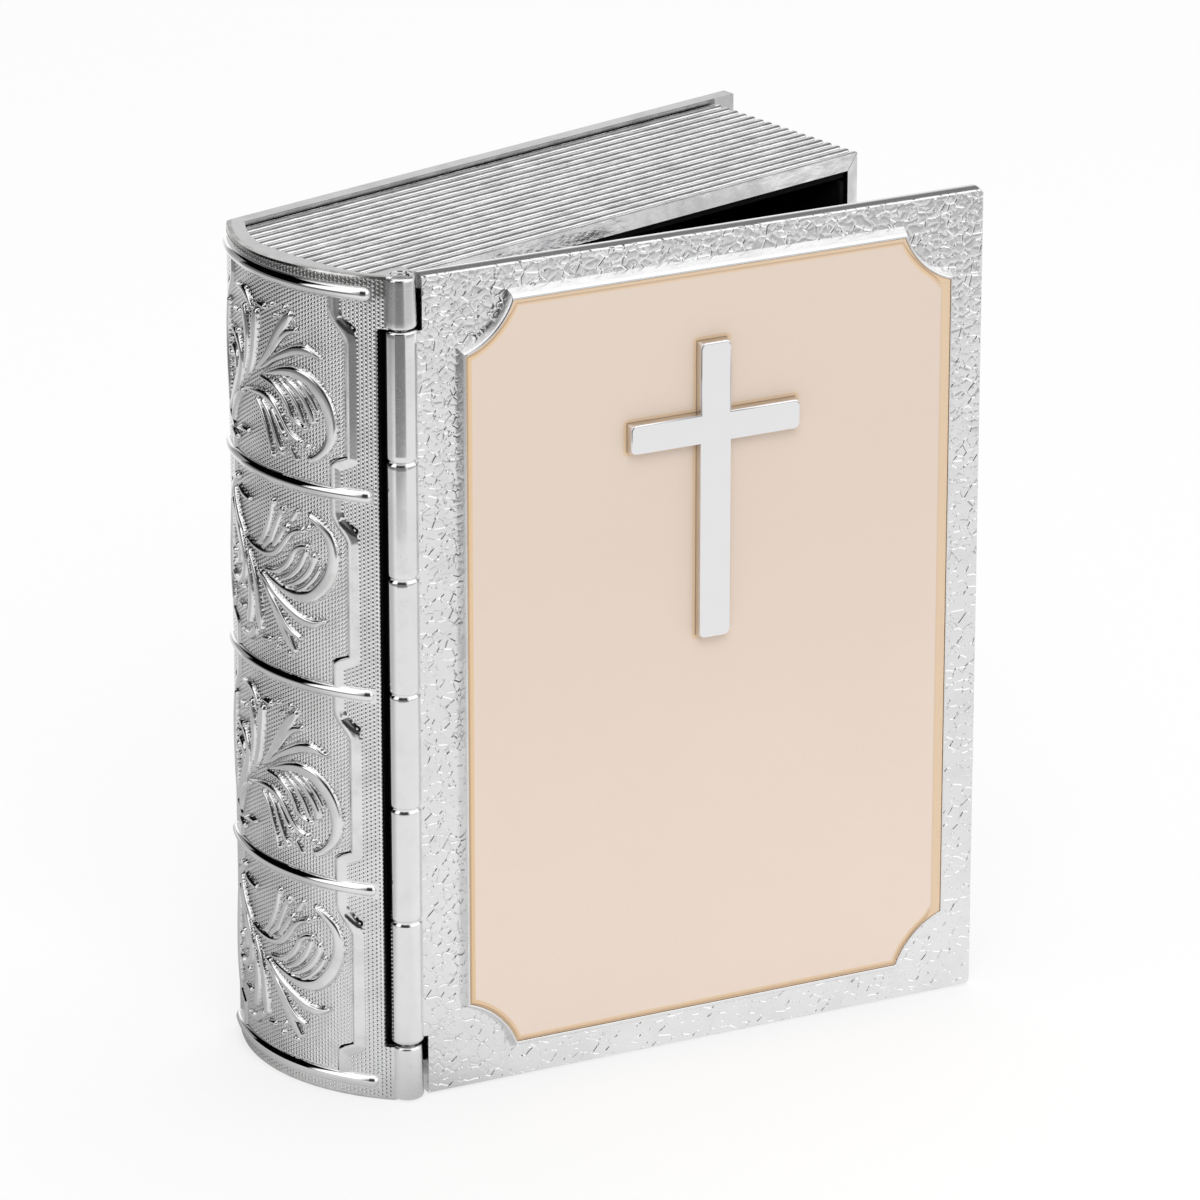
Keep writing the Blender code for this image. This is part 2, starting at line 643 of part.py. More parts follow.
def main():
    bright = plain_material("silver_plate", (0.87, 0.87, 0.88), 0.16, 1.0)
    polished = plain_material("polished_silver", (0.91, 0.91, 0.92), 0.08, 1.0)
    pin_steel = plain_material("pin_steel", (0.72, 0.72, 0.73), 0.25, 1.0)
    enamel = plain_material("beige_enamel", (0.78, 0.66, 0.55), 0.22, 0.0)
    velvet = plain_material("black_velvet", (0.012, 0.012, 0.013), 0.95, 0.0)

    make_case(bright)
    make_page_strips(bright)
    make_linings(velvet)
    make_pins(pin_steel)

    hinge = bpy.data.objects.new("cover_hinge_axis", None)
    hinge.location = (HINGE_X, HINGE_Y, 0)
    hinge.rotation_euler = (0, 0, -math.radians(COVER_OPEN_DEGREES))
    hinge.empty_display_size = KNUCKLE_RADIUS
    PARTS.objects.link(hinge)
    make_cover(bright, hinge)
    make_panel(enamel, polished, hinge)
    make_cover_lining(velvet, hinge)


main()
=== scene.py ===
# A book-shaped silver-plated trinket box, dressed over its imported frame.
# Every shape below is laid out in millimetres and scaled to metres when it is finished.
import math

import bmesh
import bpy
import numpy as np
from mathutils import Matrix, Vector


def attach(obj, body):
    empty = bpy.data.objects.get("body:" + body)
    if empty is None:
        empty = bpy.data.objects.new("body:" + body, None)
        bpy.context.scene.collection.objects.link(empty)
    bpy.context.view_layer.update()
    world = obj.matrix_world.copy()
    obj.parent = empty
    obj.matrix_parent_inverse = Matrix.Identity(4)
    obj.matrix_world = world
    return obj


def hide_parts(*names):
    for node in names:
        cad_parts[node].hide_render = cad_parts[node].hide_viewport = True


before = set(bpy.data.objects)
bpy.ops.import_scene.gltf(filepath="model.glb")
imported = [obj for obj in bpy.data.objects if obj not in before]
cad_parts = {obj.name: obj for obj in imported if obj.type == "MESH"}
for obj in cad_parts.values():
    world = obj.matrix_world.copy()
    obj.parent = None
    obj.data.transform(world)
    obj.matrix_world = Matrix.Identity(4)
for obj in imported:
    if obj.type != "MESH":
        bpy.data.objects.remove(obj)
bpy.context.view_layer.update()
scene = bpy.context.scene
scene.view_settings.view_transform = "Standard"

MM = 0.001

# The case
CASE_HEIGHT = 70.0
BOARD_RIGHT = 26.4
BOARD_BACK = 0.6
BOARD_INNER = -0.6
CASE_FRONT = -19.4
SPINE_BULGE = 3.6
SPINE_WALL = 2.2
RIM_DEPTH = 2.05
TOP_FALL = 0.35
# How thick the spine's rim is at its ends, by arc length: a crescent, thinnest beside the hinge
RIM = ((-11, 1.5), (-4, 1.52), (-0.8, 1.85), (1.8, 1.7), (4.6, 1.46), (7, 0.97), (8.6, 0.7), (11, 0.66))
SPINE_RADIUS = (10.0 ** 2 + SPINE_BULGE ** 2) / (2 * SPINE_BULGE)
SPINE_CENTRE = (SPINE_RADIUS - BOARD_RIGHT - SPINE_BULGE, -9.4)
SPINE_EDGE = SPINE_RADIUS * math.asin(10.0 / SPINE_RADIUS)
SKIN = 0.45
SKIN_NOTCH = 10.15
SKIN_GRID = 0.09
BAND_HEIGHTS = (1.5, 18.25, 35.0, 51.75, 68.5)
BAND_REACH = 9.6
BAND_RADIUS = 0.6
BAND_STAND = 0.4

# The page strips
PAGE_TOP = 69.27
PAGE_BOTTOM = 0.73
PAGE_RIGHT = 24.25
PAGE_BACK = -0.75
PAGE_FRONT = -18.45
PAGE_WALL = 1.28
RIB_COUNT = 17
RIB_GROOVE = 0.36
RIB_CROWN = 0.11
# Where a rib's section has its points, as shares of half its width from its middle
RIB_SHARES = (-1, -0.92, -0.84, -0.76, -0.66, -0.5, -0.25, 0, 0.25, 0.5, 0.66, 0.76, 0.84, 0.92)
STRIP_SLIP = 0.03
STRIP_ROOM = 0.05
PAST_SPINE = -29.0
PAST_FRONT = -20.0
PAST_END = 1.0

# The hinge
HINGE = (-25.02, -19.4)
KNUCKLE = 1.22
BARREL_RADIUS = 1.36
BARREL_ROOM = 1.85
UPPER_KNUCKLE = (65.7, 69.9)
LOWER_KNUCKLE = (0.1, 4.7)
BARREL = (4.95, 65.57)
RING_HEIGHTS = (54.76, 44.98, 35.2, 25.42, 15.64)
KNUCKLE_ROUND = 0.28
PIN = 0.72
PIN_ROOM = 0.05
BORE = PIN + PIN_ROOM
BORE_DEPTH = 5.0
UPPER_PIN = (60.95, 69.87)
LOWER_PIN = (0.13, 9.45)
# A ring line on the barrel: how far from its middle, and how deep
RING_SECTION = ((0.6, 0), (0.3, 0), (0.19, 0.03), (0.05, 0.13),
                (-0.05, 0.13), (-0.19, 0.03), (-0.3, 0), (-0.6, 0))
SPINE_LIP = HINGE[0] + KNUCKLE
OPEN_ANGLE = -math.radians(14.7)

# The cover, laid out closed, from the hinge axis
COVER_LEFT = 1.6
BORDER_LEFT = 1.0
HINGE_LEAF_LEFT = 0.6
HINGE_LEAF_INSET = 0.25
COVER_RIGHT = 51.27
COVER_LOW = 0.15
COVER_HIGH = 69.85
COVER_FACE = -0.6
COVER_BACK = 0.85
COVER_SKIN = 0.25
GRAIN_GRID = 0.1
GRAIN_DEPTH = 0.026
PEBBLE_WIDTH = 0.84
PEBBLE_HEIGHT = 0.66
COVER_CORNER = 0.42
COVER_CHAMFER = 0.1
COVER_DRAFT = 0.13
PANEL_HALF_WIDTH = 21.055
PANEL_HALF_HEIGHT = 31.68
PANEL_X = 26.435
PANEL_Z = 35.25
NOTCH_RADIUS = 6.7
NOTCH_OFFSET = 2.23
SIDE_SPREAD = 0.44
MOULDING_FACE = -1.5
ENAMEL_FACE = -1.44
ENAMEL_GAP = 0.03
ENAMEL_FOOT = COVER_FACE + 0.05
ENAMEL_RINGS = (0.07, 0.11, 0.15, 0.2, 0.25, 0.3, 0.36, 0.43, 0.5, 0.56, 0.63, 0.72, 0.8, 0.86, 0.93, 1.02)
CROSS_TOP = 61.1
CROSS_HEIGHT = 25.0
CROSS_SPAN = 15.0
CROSS_BAR = 2.7
CROSS_ARM_BAR = 2.45
CROSS_DROP = 7.2
CROSS_PROUD = 0.85
CROSS_ROUND = 0.5
CROSS_FOOT_ROUND = 0.05


# Shapes

def arc(centre, radius, start, end, steps):
    turns = np.linspace(start, end, steps + 1)
    return [(centre[0] + radius * math.cos(a), centre[1] + radius * math.sin(a)) for a in turns]


def on_spine(along, radius=SPINE_RADIUS):
    """The plan point at an arc length from the spine's middle line, at a radius."""
    turn = along / SPINE_RADIUS
    return SPINE_CENTRE[0] - radius * math.cos(turn), SPINE_CENTRE[1] - radius * math.sin(turn)


def face_outwards(shape):
    bmesh.ops.recalc_face_normals(shape, faces=shape.faces)


def verts_of(result):
    return [item for item in result["geom"] if isinstance(item, bmesh.types.BMVert)]


def drawn_out(ring, way):
    """The solid that a closed ring of points sweeps along a straight way."""
    shape = bmesh.new()
    face = shape.faces.new([shape.verts.new(point) for point in ring])
    moved = verts_of(bmesh.ops.extrude_face_region(shape, geom=[face]))
    bmesh.ops.translate(shape, vec=way, verts=moved)
    return shape


def standing(outline, bottom, top):
    """A plan outline made into a solid between two heights."""
    shape = drawn_out([(x, y, bottom) for x, y in outline], (0, 0, top - bottom))
    face_outwards(shape)
    return shape


def at_depth(outline, depth):
    """An outline in the cover's plane, laid at a depth from the hinge axis."""
    return [(x, depth, z) for x, z in outline]


def soften(shape, width, segments, least=30.0, only=lambda edge: True):
    """Rounds the edges that turn by more than an angle."""
    sharp = [edge for edge in shape.edges
             if edge.is_manifold and edge.calc_face_angle(0) > math.radians(least) and only(edge)]
    bmesh.ops.bevel(shape, geom=sharp, offset=width, offset_type="OFFSET", affect="EDGES",
                    segments=segments, profile=0.5, material=-1, clamp_overlap=True)


def turned(profile, steps=72, centre=(0.0, 0.0)):
    """A profile of (radius, height) points spun once round an upright axis."""
    shape = bmesh.new()
    points = [shape.verts.new((centre[0] + radius, centre[1], height)) for radius, height in profile]
    lines = [shape.edges.new(pair) for pair in zip(points, points[1:])]
    bmesh.ops.spin(shape, geom=points + lines, cent=(centre[0], centre[1], 0), axis=(0, 0, 1),
                   angle=math.tau, steps=steps, use_merge=True)
    bmesh.ops.remove_doubles(shape, verts=shape.verts, dist=0.0001)
    face_outwards(shape)
    return shape


def loft(shape, rings, round_again=False):
    """Joins closed rings of points with the same count, one after the other, and gives back their corners."""
    made = [[shape.verts.new(point) for point in ring] for ring in rings]
    pairs = list(zip(made, made[1:] + made[:1])) if round_again else list(zip(made, made[1:]))
    for first, second in pairs:
        for k, corner in enumerate(first):
            after = (k + 1) % len(first)
            shape.faces.new((corner, first[after], second[after], second[k]))
    return made


def edges_round(shape, ring):
    return [shape.edges.get(pair) or shape.edges.new(pair) for pair in zip(ring, ring[1:] + ring[:1])]


def rod(radius, bottom, top, centre, segments=72):
    shape = bmesh.new()
    bmesh.ops.create_cone(shape, cap_ends=True, segments=segments, radius1=radius, radius2=radius,
                          depth=top - bottom)
    bmesh.ops.translate(shape, vec=(centre[0], centre[1], (top + bottom) / 2), verts=shape.verts)
    return shape


def as_mesh(shape, name):
    mesh = bpy.data.meshes.new(name)
    shape.to_mesh(mesh)
    shape.free()
    return mesh


def carved(shape, tool, operation="DIFFERENCE"):
    """One solid cut by another, as a new bmesh."""
    base = bpy.data.objects.new("base", as_mesh(shape, "base"))
    cutter = bpy.data.objects.new("cutter", as_mesh(tool, "cutter"))
    for helper in (base, cutter):
        scene.collection.objects.link(helper)
    step = base.modifiers.new("cut", "BOOLEAN")
    step.operation = operation
    step.object = cutter
    bpy.context.view_layer.update()
    result = bmesh.new()
    result.from_object(base, bpy.context.evaluated_depsgraph_get())
    for helper in (base, cutter):
        old = helper.data
        bpy.data.objects.remove(helper)
        bpy.data.meshes.remove(old)
    return result


def file_piece(name, mesh, material, body, replaces=(), smooth=32.0, level=True):
    mesh.name = name
    mesh.shade_smooth()
    mesh.set_sharp_from_angle(angle=math.radians(smooth))
    mesh.materials.clear()
    mesh.materials.append(material)
    piece = bpy.data.objects.new(name, mesh)
    scene.collection.objects.link(piece)
    if level:
        flats = piece.modifiers.new("level_faces", "WEIGHTED_NORMAL")
        flats.keep_sharp = True
    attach(piece, body)
    if replaces:
        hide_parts(*replaces)
    return piece


def case_piece(name, shape, material, replaces=(), smooth=32.0):
    bmesh.ops.scale(shape, vec=(MM, MM, MM), verts=shape.verts)
    return file_piece(name, as_mesh(shape, name), material, "case", replaces, smooth)


def swing(shape):
    """Turns a cover shape from where it was laid out to where the open cover is."""
    place = Matrix.Translation((HINGE[0], HINGE[1], 0)) @ Matrix.Rotation(OPEN_ANGLE, 4, "Z")
    bmesh.ops.transform(shape, matrix=Matrix.Scale(MM, 4) @ place, verts=shape.verts)


def cover_piece(name, shape, material, replaces=(), smooth=32.0):
    swing(shape)
    return file_piece(name, as_mesh(shape, name), material, "cover", replaces, smooth)


# Shader nodes

def add(tree, kind, inputs=None, **settings):
    made = tree.nodes.new(kind)
    for name, value in settings.items():
        setattr(made, name, value)
    for name, value in (inputs or {}).items():
        if isinstance(value, bpy.types.NodeSocket):
            tree.links.new(value, made.inputs[name])
        else:
            made.inputs[name].default_value = value
    return made


def maths(tree, operation, *values):
    return add(tree, "ShaderNodeMath", dict(enumerate(values)), operation=operation).outputs[0]


def times(tree, *values):
    return maths(tree, "MULTIPLY", *values)


def plus(tree, *values):
    return maths(tree, "ADD", *values)


def left_of(tree, value):
    """One less a value."""
    return maths(tree, "SUBTRACT", 1.0, value)


def vector_maths(tree, operation, *values):
    made = add(tree, "ShaderNodeVectorMath", dict(enumerate(values)), operation=operation)
    return made.outputs["Value" if operation in ("DOT_PRODUCT", "LENGTH") else "Vector"]


def ramp(tree, value, low, high, start=0.0, end=1.0, kind="SMOOTHSTEP"):
    made = add(tree, "ShaderNodeMapRange",
               {"Value": value, "From Min": low, "From Max": high, "To Min": start, "To Max": end},
               interpolation_type=kind)
    return made.outputs["Result"]


def window(tree, value, low, high, soft):
    """One between two values, and nought beyond them."""
    rise = ramp(tree, value, low - soft, low + soft)
    fall = ramp(tree, value, high - soft, high + soft, 1.0, 0.0)
    return times(tree, rise, fall)


def mix_colour(tree, share, first, second):
    return add(tree, "ShaderNodeMix", {0: share, 6: first, 7: second}, data_type="RGBA").outputs[2]


def noise(tree, place, scale, detail, roughness=0.5):
    return add(tree, "ShaderNodeTexNoise", {"Vector": place, "Scale": scale, "Detail": detail,
                                            "Roughness": roughness}).outputs["Fac"]


def cells(tree, place, scale, feature="F1"):
    """The distances and colours of scattered cells."""
    return add(tree, "ShaderNodeTexVoronoi", {"Vector": place, "Scale": scale}, feature=feature).outputs


def marked(tree, name):
    """What a piece's corners or faces were marked with."""
    return add(tree, "ShaderNodeAttribute", attribute_name=name).outputs["Fac"]


def marked_parts(tree, name):
    """The three shares of a mark that is kept as a vector."""
    marks = add(tree, "ShaderNodeAttribute", attribute_name=name).outputs["Vector"]
    return add(tree, "ShaderNodeSeparateXYZ", {0: marks}).outputs


def patchy(tree, place, scale, least, most):
    """A slow drift between two amounts."""
    return ramp(tree, noise(tree, place, scale, 3.0), 0.3, 0.7, least, most)


def bumped(tree, height):
    """A bump of a height in millimetres."""
    return add(tree, "ShaderNodeBump", {"Height": height, "Distance": MM}).outputs[0]


def new_group(name, inputs, outputs):
    group = bpy.data.node_groups.new(name, "ShaderNodeTree")
    for label, kind, value in inputs:
        socket = group.interface.new_socket(label, in_out="INPUT", socket_type=kind)
        if value is not None:
            socket.default_value = value
    for label, kind in outputs:
        group.interface.new_socket(label, in_out="OUTPUT", socket_type=kind)
    return group, group.nodes.new("NodeGroupInput").outputs, group.nodes.new("NodeGroupOutput").inputs


def use_group(tree, group, inputs):
    return add(tree, "ShaderNodeGroup", inputs, node_tree=group).outputs


# The studio

VIEW_YAW = math.radians(40.8)
VIEW_PITCH = math.radians(21.16)
CAMERA_PLACE = (-379.4, -453.7, 259.8)
LENS = 228.96
SENSOR_WIDTH = 36.0
BOX_MIDDLE = (0.0, -0.010, 0.035)
LAMP_TARGET = (0, 0, 0.03)
FLOOR_HALF = 2.5
FLOOR_DROP = 0.00002


def make_camera():
    data = bpy.data.cameras.new("photo_camera")
    data.sensor_width = SENSOR_WIDTH
    data.lens = LENS
    data.clip_start = 0.01
    data.clip_end = 20.0
    camera = bpy.data.objects.new("photo_camera", data)
    camera.location = Vector(CAMERA_PLACE) * MM
    camera.rotation_euler = (math.pi / 2 - VIEW_PITCH, 0, -VIEW_YAW)
    scene.collection.objects.link(camera)
    scene.camera = camera


def surround_group():
    """How bright the studio is in a direction from the box, as polished metal reflects it."""
    group, given, out = new_group("studio_surround", [("Direction", "NodeSocketVector", None)],
                                  [("Tone", "NodeSocketFloat")])
    way = vector_maths(group, "NORMALIZE", given["Direction"])
    parts = add(group, "ShaderNodeSeparateXYZ", {0: way}).outputs
    near = (-math.sin(VIEW_YAW), -math.cos(VIEW_YAW), 0)
    left = (-math.cos(VIEW_YAW), math.sin(VIEW_YAW), 0)
    side = maths(group, "DEGREES", maths(group, "ARCTAN2", vector_maths(group, "DOT_PRODUCT", way, left),
                                         vector_maths(group, "DOT_PRODUCT", way, near)))
    rise = maths(group, "DEGREES", maths(group, "ARCSINE", parts["Z"]))
    around = maths(group, "FLOORED_MODULO", side, 360.0)

    def zone(turn, across, up):
        return times(group, window(group, turn, *across), window(group, rise, *up))

    tone = 0.8
    # Each zone: what its turn is measured by, its start, end and softness across and up, and its strength
    dark = [
        (side, (-27, 36, 4), (-11.8, 42, 0.6), 0.95),
        (side, (36, 140, 6), (-9.6, 4, 0.6), 0.88),
        (side, (-98, -34, 5), (-9, -2, 1.2), 0.6),
        (side, (71, 140, 2.5), (0, 54, 3), 1.0),
        (side, (54, 150, 14), (-60, 3, 3), 0.45),
        (around, (125, 238, 8), (27, 58, 4), 0.75),
        (around, (125, 238, 8), (14, 30, 3), 0.28),
        (around, (14, 220, 12), (-100, -45, 8), 0.35),
    ]
    for turn, across, up, depth in dark:
        tone = times(group, tone, left_of(group, times(group, zone(turn, across, up), depth)))
    light = [
        (around, (120, 181, 1.5), (-25, 16, 3), 0.3),
        (side, (-112, -38, 5), (3, 62, 4), 0.45),
        (side, (40, 69, 2.5), (3, 62, 3), 0.45),
        (side, (-100, -12, 10), (-100, -32, 12), 0.07),
        (around, (-20, 380, 5), (60, 100, 4), 0.45),
    ]
    for turn, across, up, gain in light:
        tone = plus(group, tone, times(group, zone(turn, across, up), gain))
    group.links.new(tone, out["Tone"])
    return group


def make_world(surround):
    world = bpy.data.worlds.new("studio")
    scene.world = world
    world.use_nodes = True
    tree = world.node_tree
    tree.nodes.clear()
    place = add(tree, "ShaderNodeTexCoord").outputs["Generated"]
    tone = use_group(tree, surround, {"Direction": place})["Tone"]
    ray = add(tree, "ShaderNodeLightPath").outputs
    seen = maths(tree, "MAXIMUM", ray["Is Camera Ray"], ray["Is Transmission Ray"])
    fill = plus(tree, times(tree, ray["Is Glossy Ray"], tone),
                times(tree, left_of(tree, ray["Is Glossy Ray"]), 0.5))
    strength = plus(tree, seen, times(tree, left_of(tree, seen), fill))
    back = add(tree, "ShaderNodeBackground", {"Color": (1, 1, 1, 1), "Strength": strength})
    out = add(tree, "ShaderNodeOutputWorld", {"Surface": back.outputs[0]})
    out.is_active_output = True


def make_floor(surround):
    """A pale sheet: white to the camera, with the box's own shadow on it."""
    material = bpy.data.materials.new("paper_sweep")
    material.use_nodes = True
    tree = material.node_tree
    tree.nodes.clear()
    place = add(tree, "ShaderNodeTexCoord").outputs["Object"]
    from_box = vector_maths(tree, "SUBTRACT", place, BOX_MIDDLE)
    tone = use_group(tree, surround, {"Direction": from_box})["Tone"]
    ray = add(tree, "ShaderNodeLightPath").outputs
    strength = plus(tree, ray["Is Camera Ray"], times(tree, left_of(tree, ray["Is Camera Ray"]), tone))
    share = plus(tree, times(tree, ray["Is Camera Ray"], 0.7), times(tree, ray["Is Glossy Ray"], 0.85))
    paper = add(tree, "ShaderNodeBsdfDiffuse", {"Color": (0.93, 0.93, 0.93, 1)})
    glow = add(tree, "ShaderNodeEmission", {"Color": (1, 1, 1, 1), "Strength": strength})
    both = add(tree, "ShaderNodeMixShader", {0: share, 1: paper.outputs[0], 2: glow.outputs[0]})
    add(tree, "ShaderNodeOutputMaterial", {"Surface": both.outputs[0]})
    shape = bmesh.new()
    bmesh.ops.create_grid(shape, x_segments=1, y_segments=1, size=FLOOR_HALF)
    mesh = as_mesh(shape, "paper_sweep")
    mesh.materials.append(material)
    floor = bpy.data.objects.new("paper_sweep", mesh)
    floor.location.z = -FLOOR_DROP
    scene.collection.objects.link(floor)


def make_lamp(name, place, size, power):
    data = bpy.data.lights.new(name, "AREA")
    data.shape = "DISK"
    data.size = size
    data.energy = power
    lamp = bpy.data.objects.new(name, data)
    lamp.location = place
    lamp.rotation_euler = (Vector(place) - Vector(LAMP_TARGET)).to_track_quat("Z", "Y").to_euler()
    lamp.visible_glossy = False
    lamp.visible_camera = False
    scene.collection.objects.link(lamp)


def make_studio():
    surround = surround_group()
    make_world(surround)
    make_floor(surround)
    make_lamp("key_softbox", (-0.35, -0.55, 0.75), 0.7, 3.6)
    make_lamp("top_softbox", (0.25, 0.1, 0.95), 0.9, 4.0)


# Finishes

# The pips of the spine's ground: how far apart they stand, and how high, inside the frames and outside
PANEL_PITCH = 0.305
GROUND_PITCH = 0.35
PANEL_PIP = 0.0115
GROUND_PIP = 0.013
WEAR_HEIGHT = 0.012
# Near black painted into grooves, gaps and pockets as painted shade
PAINTED_BLACK = (0.012, 0.012, 0.012, 1)


def plating_group():
    """Light wear of plated metal: cloudy handling marks, hairline scratches and small pits."""
    group, given, out = new_group(
        "plating_wear",
        [("Place", "NodeSocketVector", None), ("Clouds", "NodeSocketFloat", 0.05),
         ("Scratches", "NodeSocketFloat", 0.3), ("Pits", "NodeSocketFloat", 0.2)],
        [("Roughness", "NodeSocketFloat"), ("Dulling", "NodeSocketFloat"), ("Height", "NodeSocketFloat")])
    cloud = ramp(group, noise(group, given["Place"], 0.35, 4.0, 0.6), 0.4, 0.72)
    marks = []
    for turn, scale in ((0.5, 2.6), (-1.1, 3.4)):
        stretched = add(group, "ShaderNodeMapping", {"Vector": given["Place"], "Scale": (0.05, 1.0, 1.0),
                                                     "Rotation": (turn, turn * 0.7, turn)})
        lines = noise(group, stretched.outputs[0], scale * 3, 2.0)
        marks.append(ramp(group, lines, 0.66, 0.74))
    scratch = times(group, maths(group, "MAXIMUM", *marks), given["Scratches"])
    dots = cells(group, given["Place"], 1.6)["Distance"]
    pit = times(group, ramp(group, dots, 0.03, 0.09, 1.0, 0.0), given["Pits"])
    rough = plus(group, times(group, cloud, given["Clouds"]), times(group, scratch, 0.2))
    group.links.new(rough, out["Roughness"])
    group.links.new(maths(group, "MAXIMUM", times(group, cloud, 0.5), pit), out["Dulling"])
    height = maths(group, "SUBTRACT", 0.0, plus(group, times(group, scratch, 0.3), pit))
    group.links.new(height, out["Height"])
    return group


def fine_dust_group():
    """Tiny specks, as a mask."""
    group, given, out = new_group(
        "fine_dust", [("Place", "NodeSocketVector", None), ("Fineness", "NodeSocketFloat", 4.0),
                      ("Amount", "NodeSocketFloat", 0.3)],
        [("Specks", "NodeSocketFloat")])
    spots = cells(group, given["Place"], given["Fineness"])
    dot = ramp(group, spots["Distance"], 0.08, 0.2, 1.0, 0.0)
    chosen = add(group, "ShaderNodeSeparateColor", {0: spots["Color"]}).outputs[0]
    pick = maths(group, "LESS_THAN", chosen, given["Amount"])
    group.links.new(times(group, dot, pick), out["Specks"])
    return group


PLATING = plating_group()
DUST = fine_dust_group()


def new_material(name):
    material = bpy.data.materials.new(name)
    material.use_nodes = True
    tree = material.node_tree
    tree.nodes.clear()
    place = vector_maths(tree, "MULTIPLY", add(tree, "ShaderNodeTexCoord").outputs["Object"], (1 / MM,) * 3)
    return material, tree, place


def close_material(tree, shader):
    add(tree, "ShaderNodeOutputMaterial", {"Surface": shader.outputs[0]})


def silver(name, bright=(0.9, 0.9, 0.905), dull=(0.74, 0.735, 0.72), roughness=0.12, clouds=0.06,
           scratches=0.3, pits=0.15, relief=None, painted_shade=None, painted_black=None, fade=0.5):
    """Silver plate. relief adds a height in millimetres; a painted shade mask dulls hollows and dark faces,
    and a painted black mask blackens deep ones as painted shade.
    """
    material, tree, place = new_material(name)
    wear = use_group(tree, PLATING, {"Place": place, "Clouds": clouds, "Scratches": scratches, "Pits": pits})
    height = times(tree, wear["Height"], WEAR_HEIGHT)
    dulling_and_shade = times(tree, wear["Dulling"], fade)
    rough = plus(tree, wear["Roughness"], roughness)
    if relief:
        height = plus(tree, height, relief(tree, place))
    # Painted shade: hollows and dark faces are dulled towards the dull colour, on top of the real wear
    if painted_shade:
        hollow = painted_shade(tree, place)
        dulling_and_shade = maths(tree, "MAXIMUM", dulling_and_shade, hollow)
        rough = plus(tree, rough, times(tree, hollow, 0.12))
    colour = mix_colour(tree, dulling_and_shade, (*bright, 1), (*dull, 1))
    # Painted shade: the deepest places are painted near black
    if painted_black:
        black = painted_black(tree)
        colour = mix_colour(tree, black, colour, PAINTED_BLACK)
        rough = plus(tree, rough, times(tree, black, 0.3))
    shader = add(tree, "ShaderNodeBsdfPrincipled",
                 {"Base Color": colour, "Metallic": 1.0, "Roughness": rough, "Normal": bumped(tree, height)})
    close_material(tree, shader)
    return material


def pips(tree, along, up, spacing, pitch, rising=1.0):
    """Staggered round pips in upright rows: three waves that meet at each pip."""
    half = times(tree, along, 0.5 / spacing)
    rise = times(tree, up, 1.0 / pitch)
    total = 0.0
    for phase, share in ((maths(tree, "SUBTRACT", rise, half), rising), (plus(tree, rise, half), 1.0),
                         (times(tree, along, 1.0 / spacing), 1.0)):
        crest = maths(tree, "COSINE", times(tree, phase, math.tau))
        total = plus(tree, total, times(tree, crest, share))
    return total


def knurled(tree, place):
    """The fine pipped ground of the spine, inside the frames and outside them."""
    flat = marked_parts(tree, "spine_place")
    zone = marked_parts(tree, "spine_zone")
    inside = times(tree, pips(tree, flat["X"], flat["Y"], PANEL_PITCH, GROUND_PITCH, 1.5), zone["X"])
    outside = times(tree, pips(tree, flat["X"], flat["Y"], GROUND_PITCH, GROUND_PITCH), zone["Y"])
    return plus(tree, times(tree, inside, PANEL_PIP), times(tree, outside, GROUND_PIP))


def spine_painted_shade(tree, place):
    """Painted shade beside the leaves and frames and near the case's ends, patchy."""
    return times(tree, marked_parts(tree, "spine_zone")["Z"], patchy(tree, place, 1.2, 0.45, 0.95))


def spine_painted_black(tree):
    """Painted black, as painted shade and dark reflection: between the pips of the small pockets beside the
    frames, on the skin's edge at the barrel, and over the ground below the top band.
    """
    flat = marked_parts(tree, "spine_place")
    ground = pips(tree, flat["X"], flat["Y"], GROUND_PITCH, GROUND_PITCH)
    between = ramp(tree, ground, 0.5, 1.3, 1.0, 0.0)
    pocket = times(tree, ramp(tree, flat["Z"], 0.3, 0.6), between)
    return maths(tree, "MAXIMUM", pocket, ramp(tree, flat["Z"], 1.2, 1.8))


def core_painted_black(tree):
    """Painted black in the groove that the barrel turns in, as painted shade."""
    return marked(tree, "painted_black")


def grain_relief(tree, place):
    """Crisp broken creases and a fine tooth over the pebbled ground."""
    fine = noise(tree, place, 3.2, 4.0, 0.65)
    walls = cells(tree, place, 1.15, "DISTANCE_TO_EDGE")["Distance"]
    crease = ramp(tree, walls, 0.0, 0.1, 1.0, 0.0, "LINEAR")
    gaps = noise(tree, place, 1.3, 1.0)
    broken = times(tree, crease, ramp(tree, gaps, 0.44, 0.52))
    spots = cells(tree, place, 1.9)["Distance"]
    dots = times(tree, ramp(tree, spots, 0.08, 0.26, 1.0, 0.0), ramp(tree, gaps, 0.56, 0.44))
    tooth = plus(tree, times(tree, fine, 0.008), times(tree, dots, 0.03))
    return maths(tree, "SUBTRACT", tooth, times(tree, broken, 0.038))


def rib_relief(tree, place):
    """Long soft waves along the ribs."""
    stretched = add(tree, "ShaderNodeMapping", {"Vector": place, "Scale": (0.35, 2.4, 0.35)})
    return times(tree, noise(tree, stretched.outputs[0], 2.0, 4.0), 0.034)


def face_painted_shade(tree, place):
    """Painted shade on faces that look dark: those inside the rim above the ribs, and the cross's walls."""
    return times(tree, marked(tree, "painted_dark_face"), patchy(tree, place, 0.7, 0.85, 1.0))


def rib_painted_shade(tree, place):
    """Painted shade that starts on a groove's sides."""
    depth = marked(tree, "groove_depth")
    return times(tree, ramp(tree, depth, 0.05, 0.3), patchy(tree, place, 0.8, 0.85, 1.0))


def rib_painted_black(tree):
    """Painted black in the grooves between the ribs, as painted shade."""
    return ramp(tree, marked(tree, "groove_depth"), 0.08, 0.3, 0.0, 0.98)


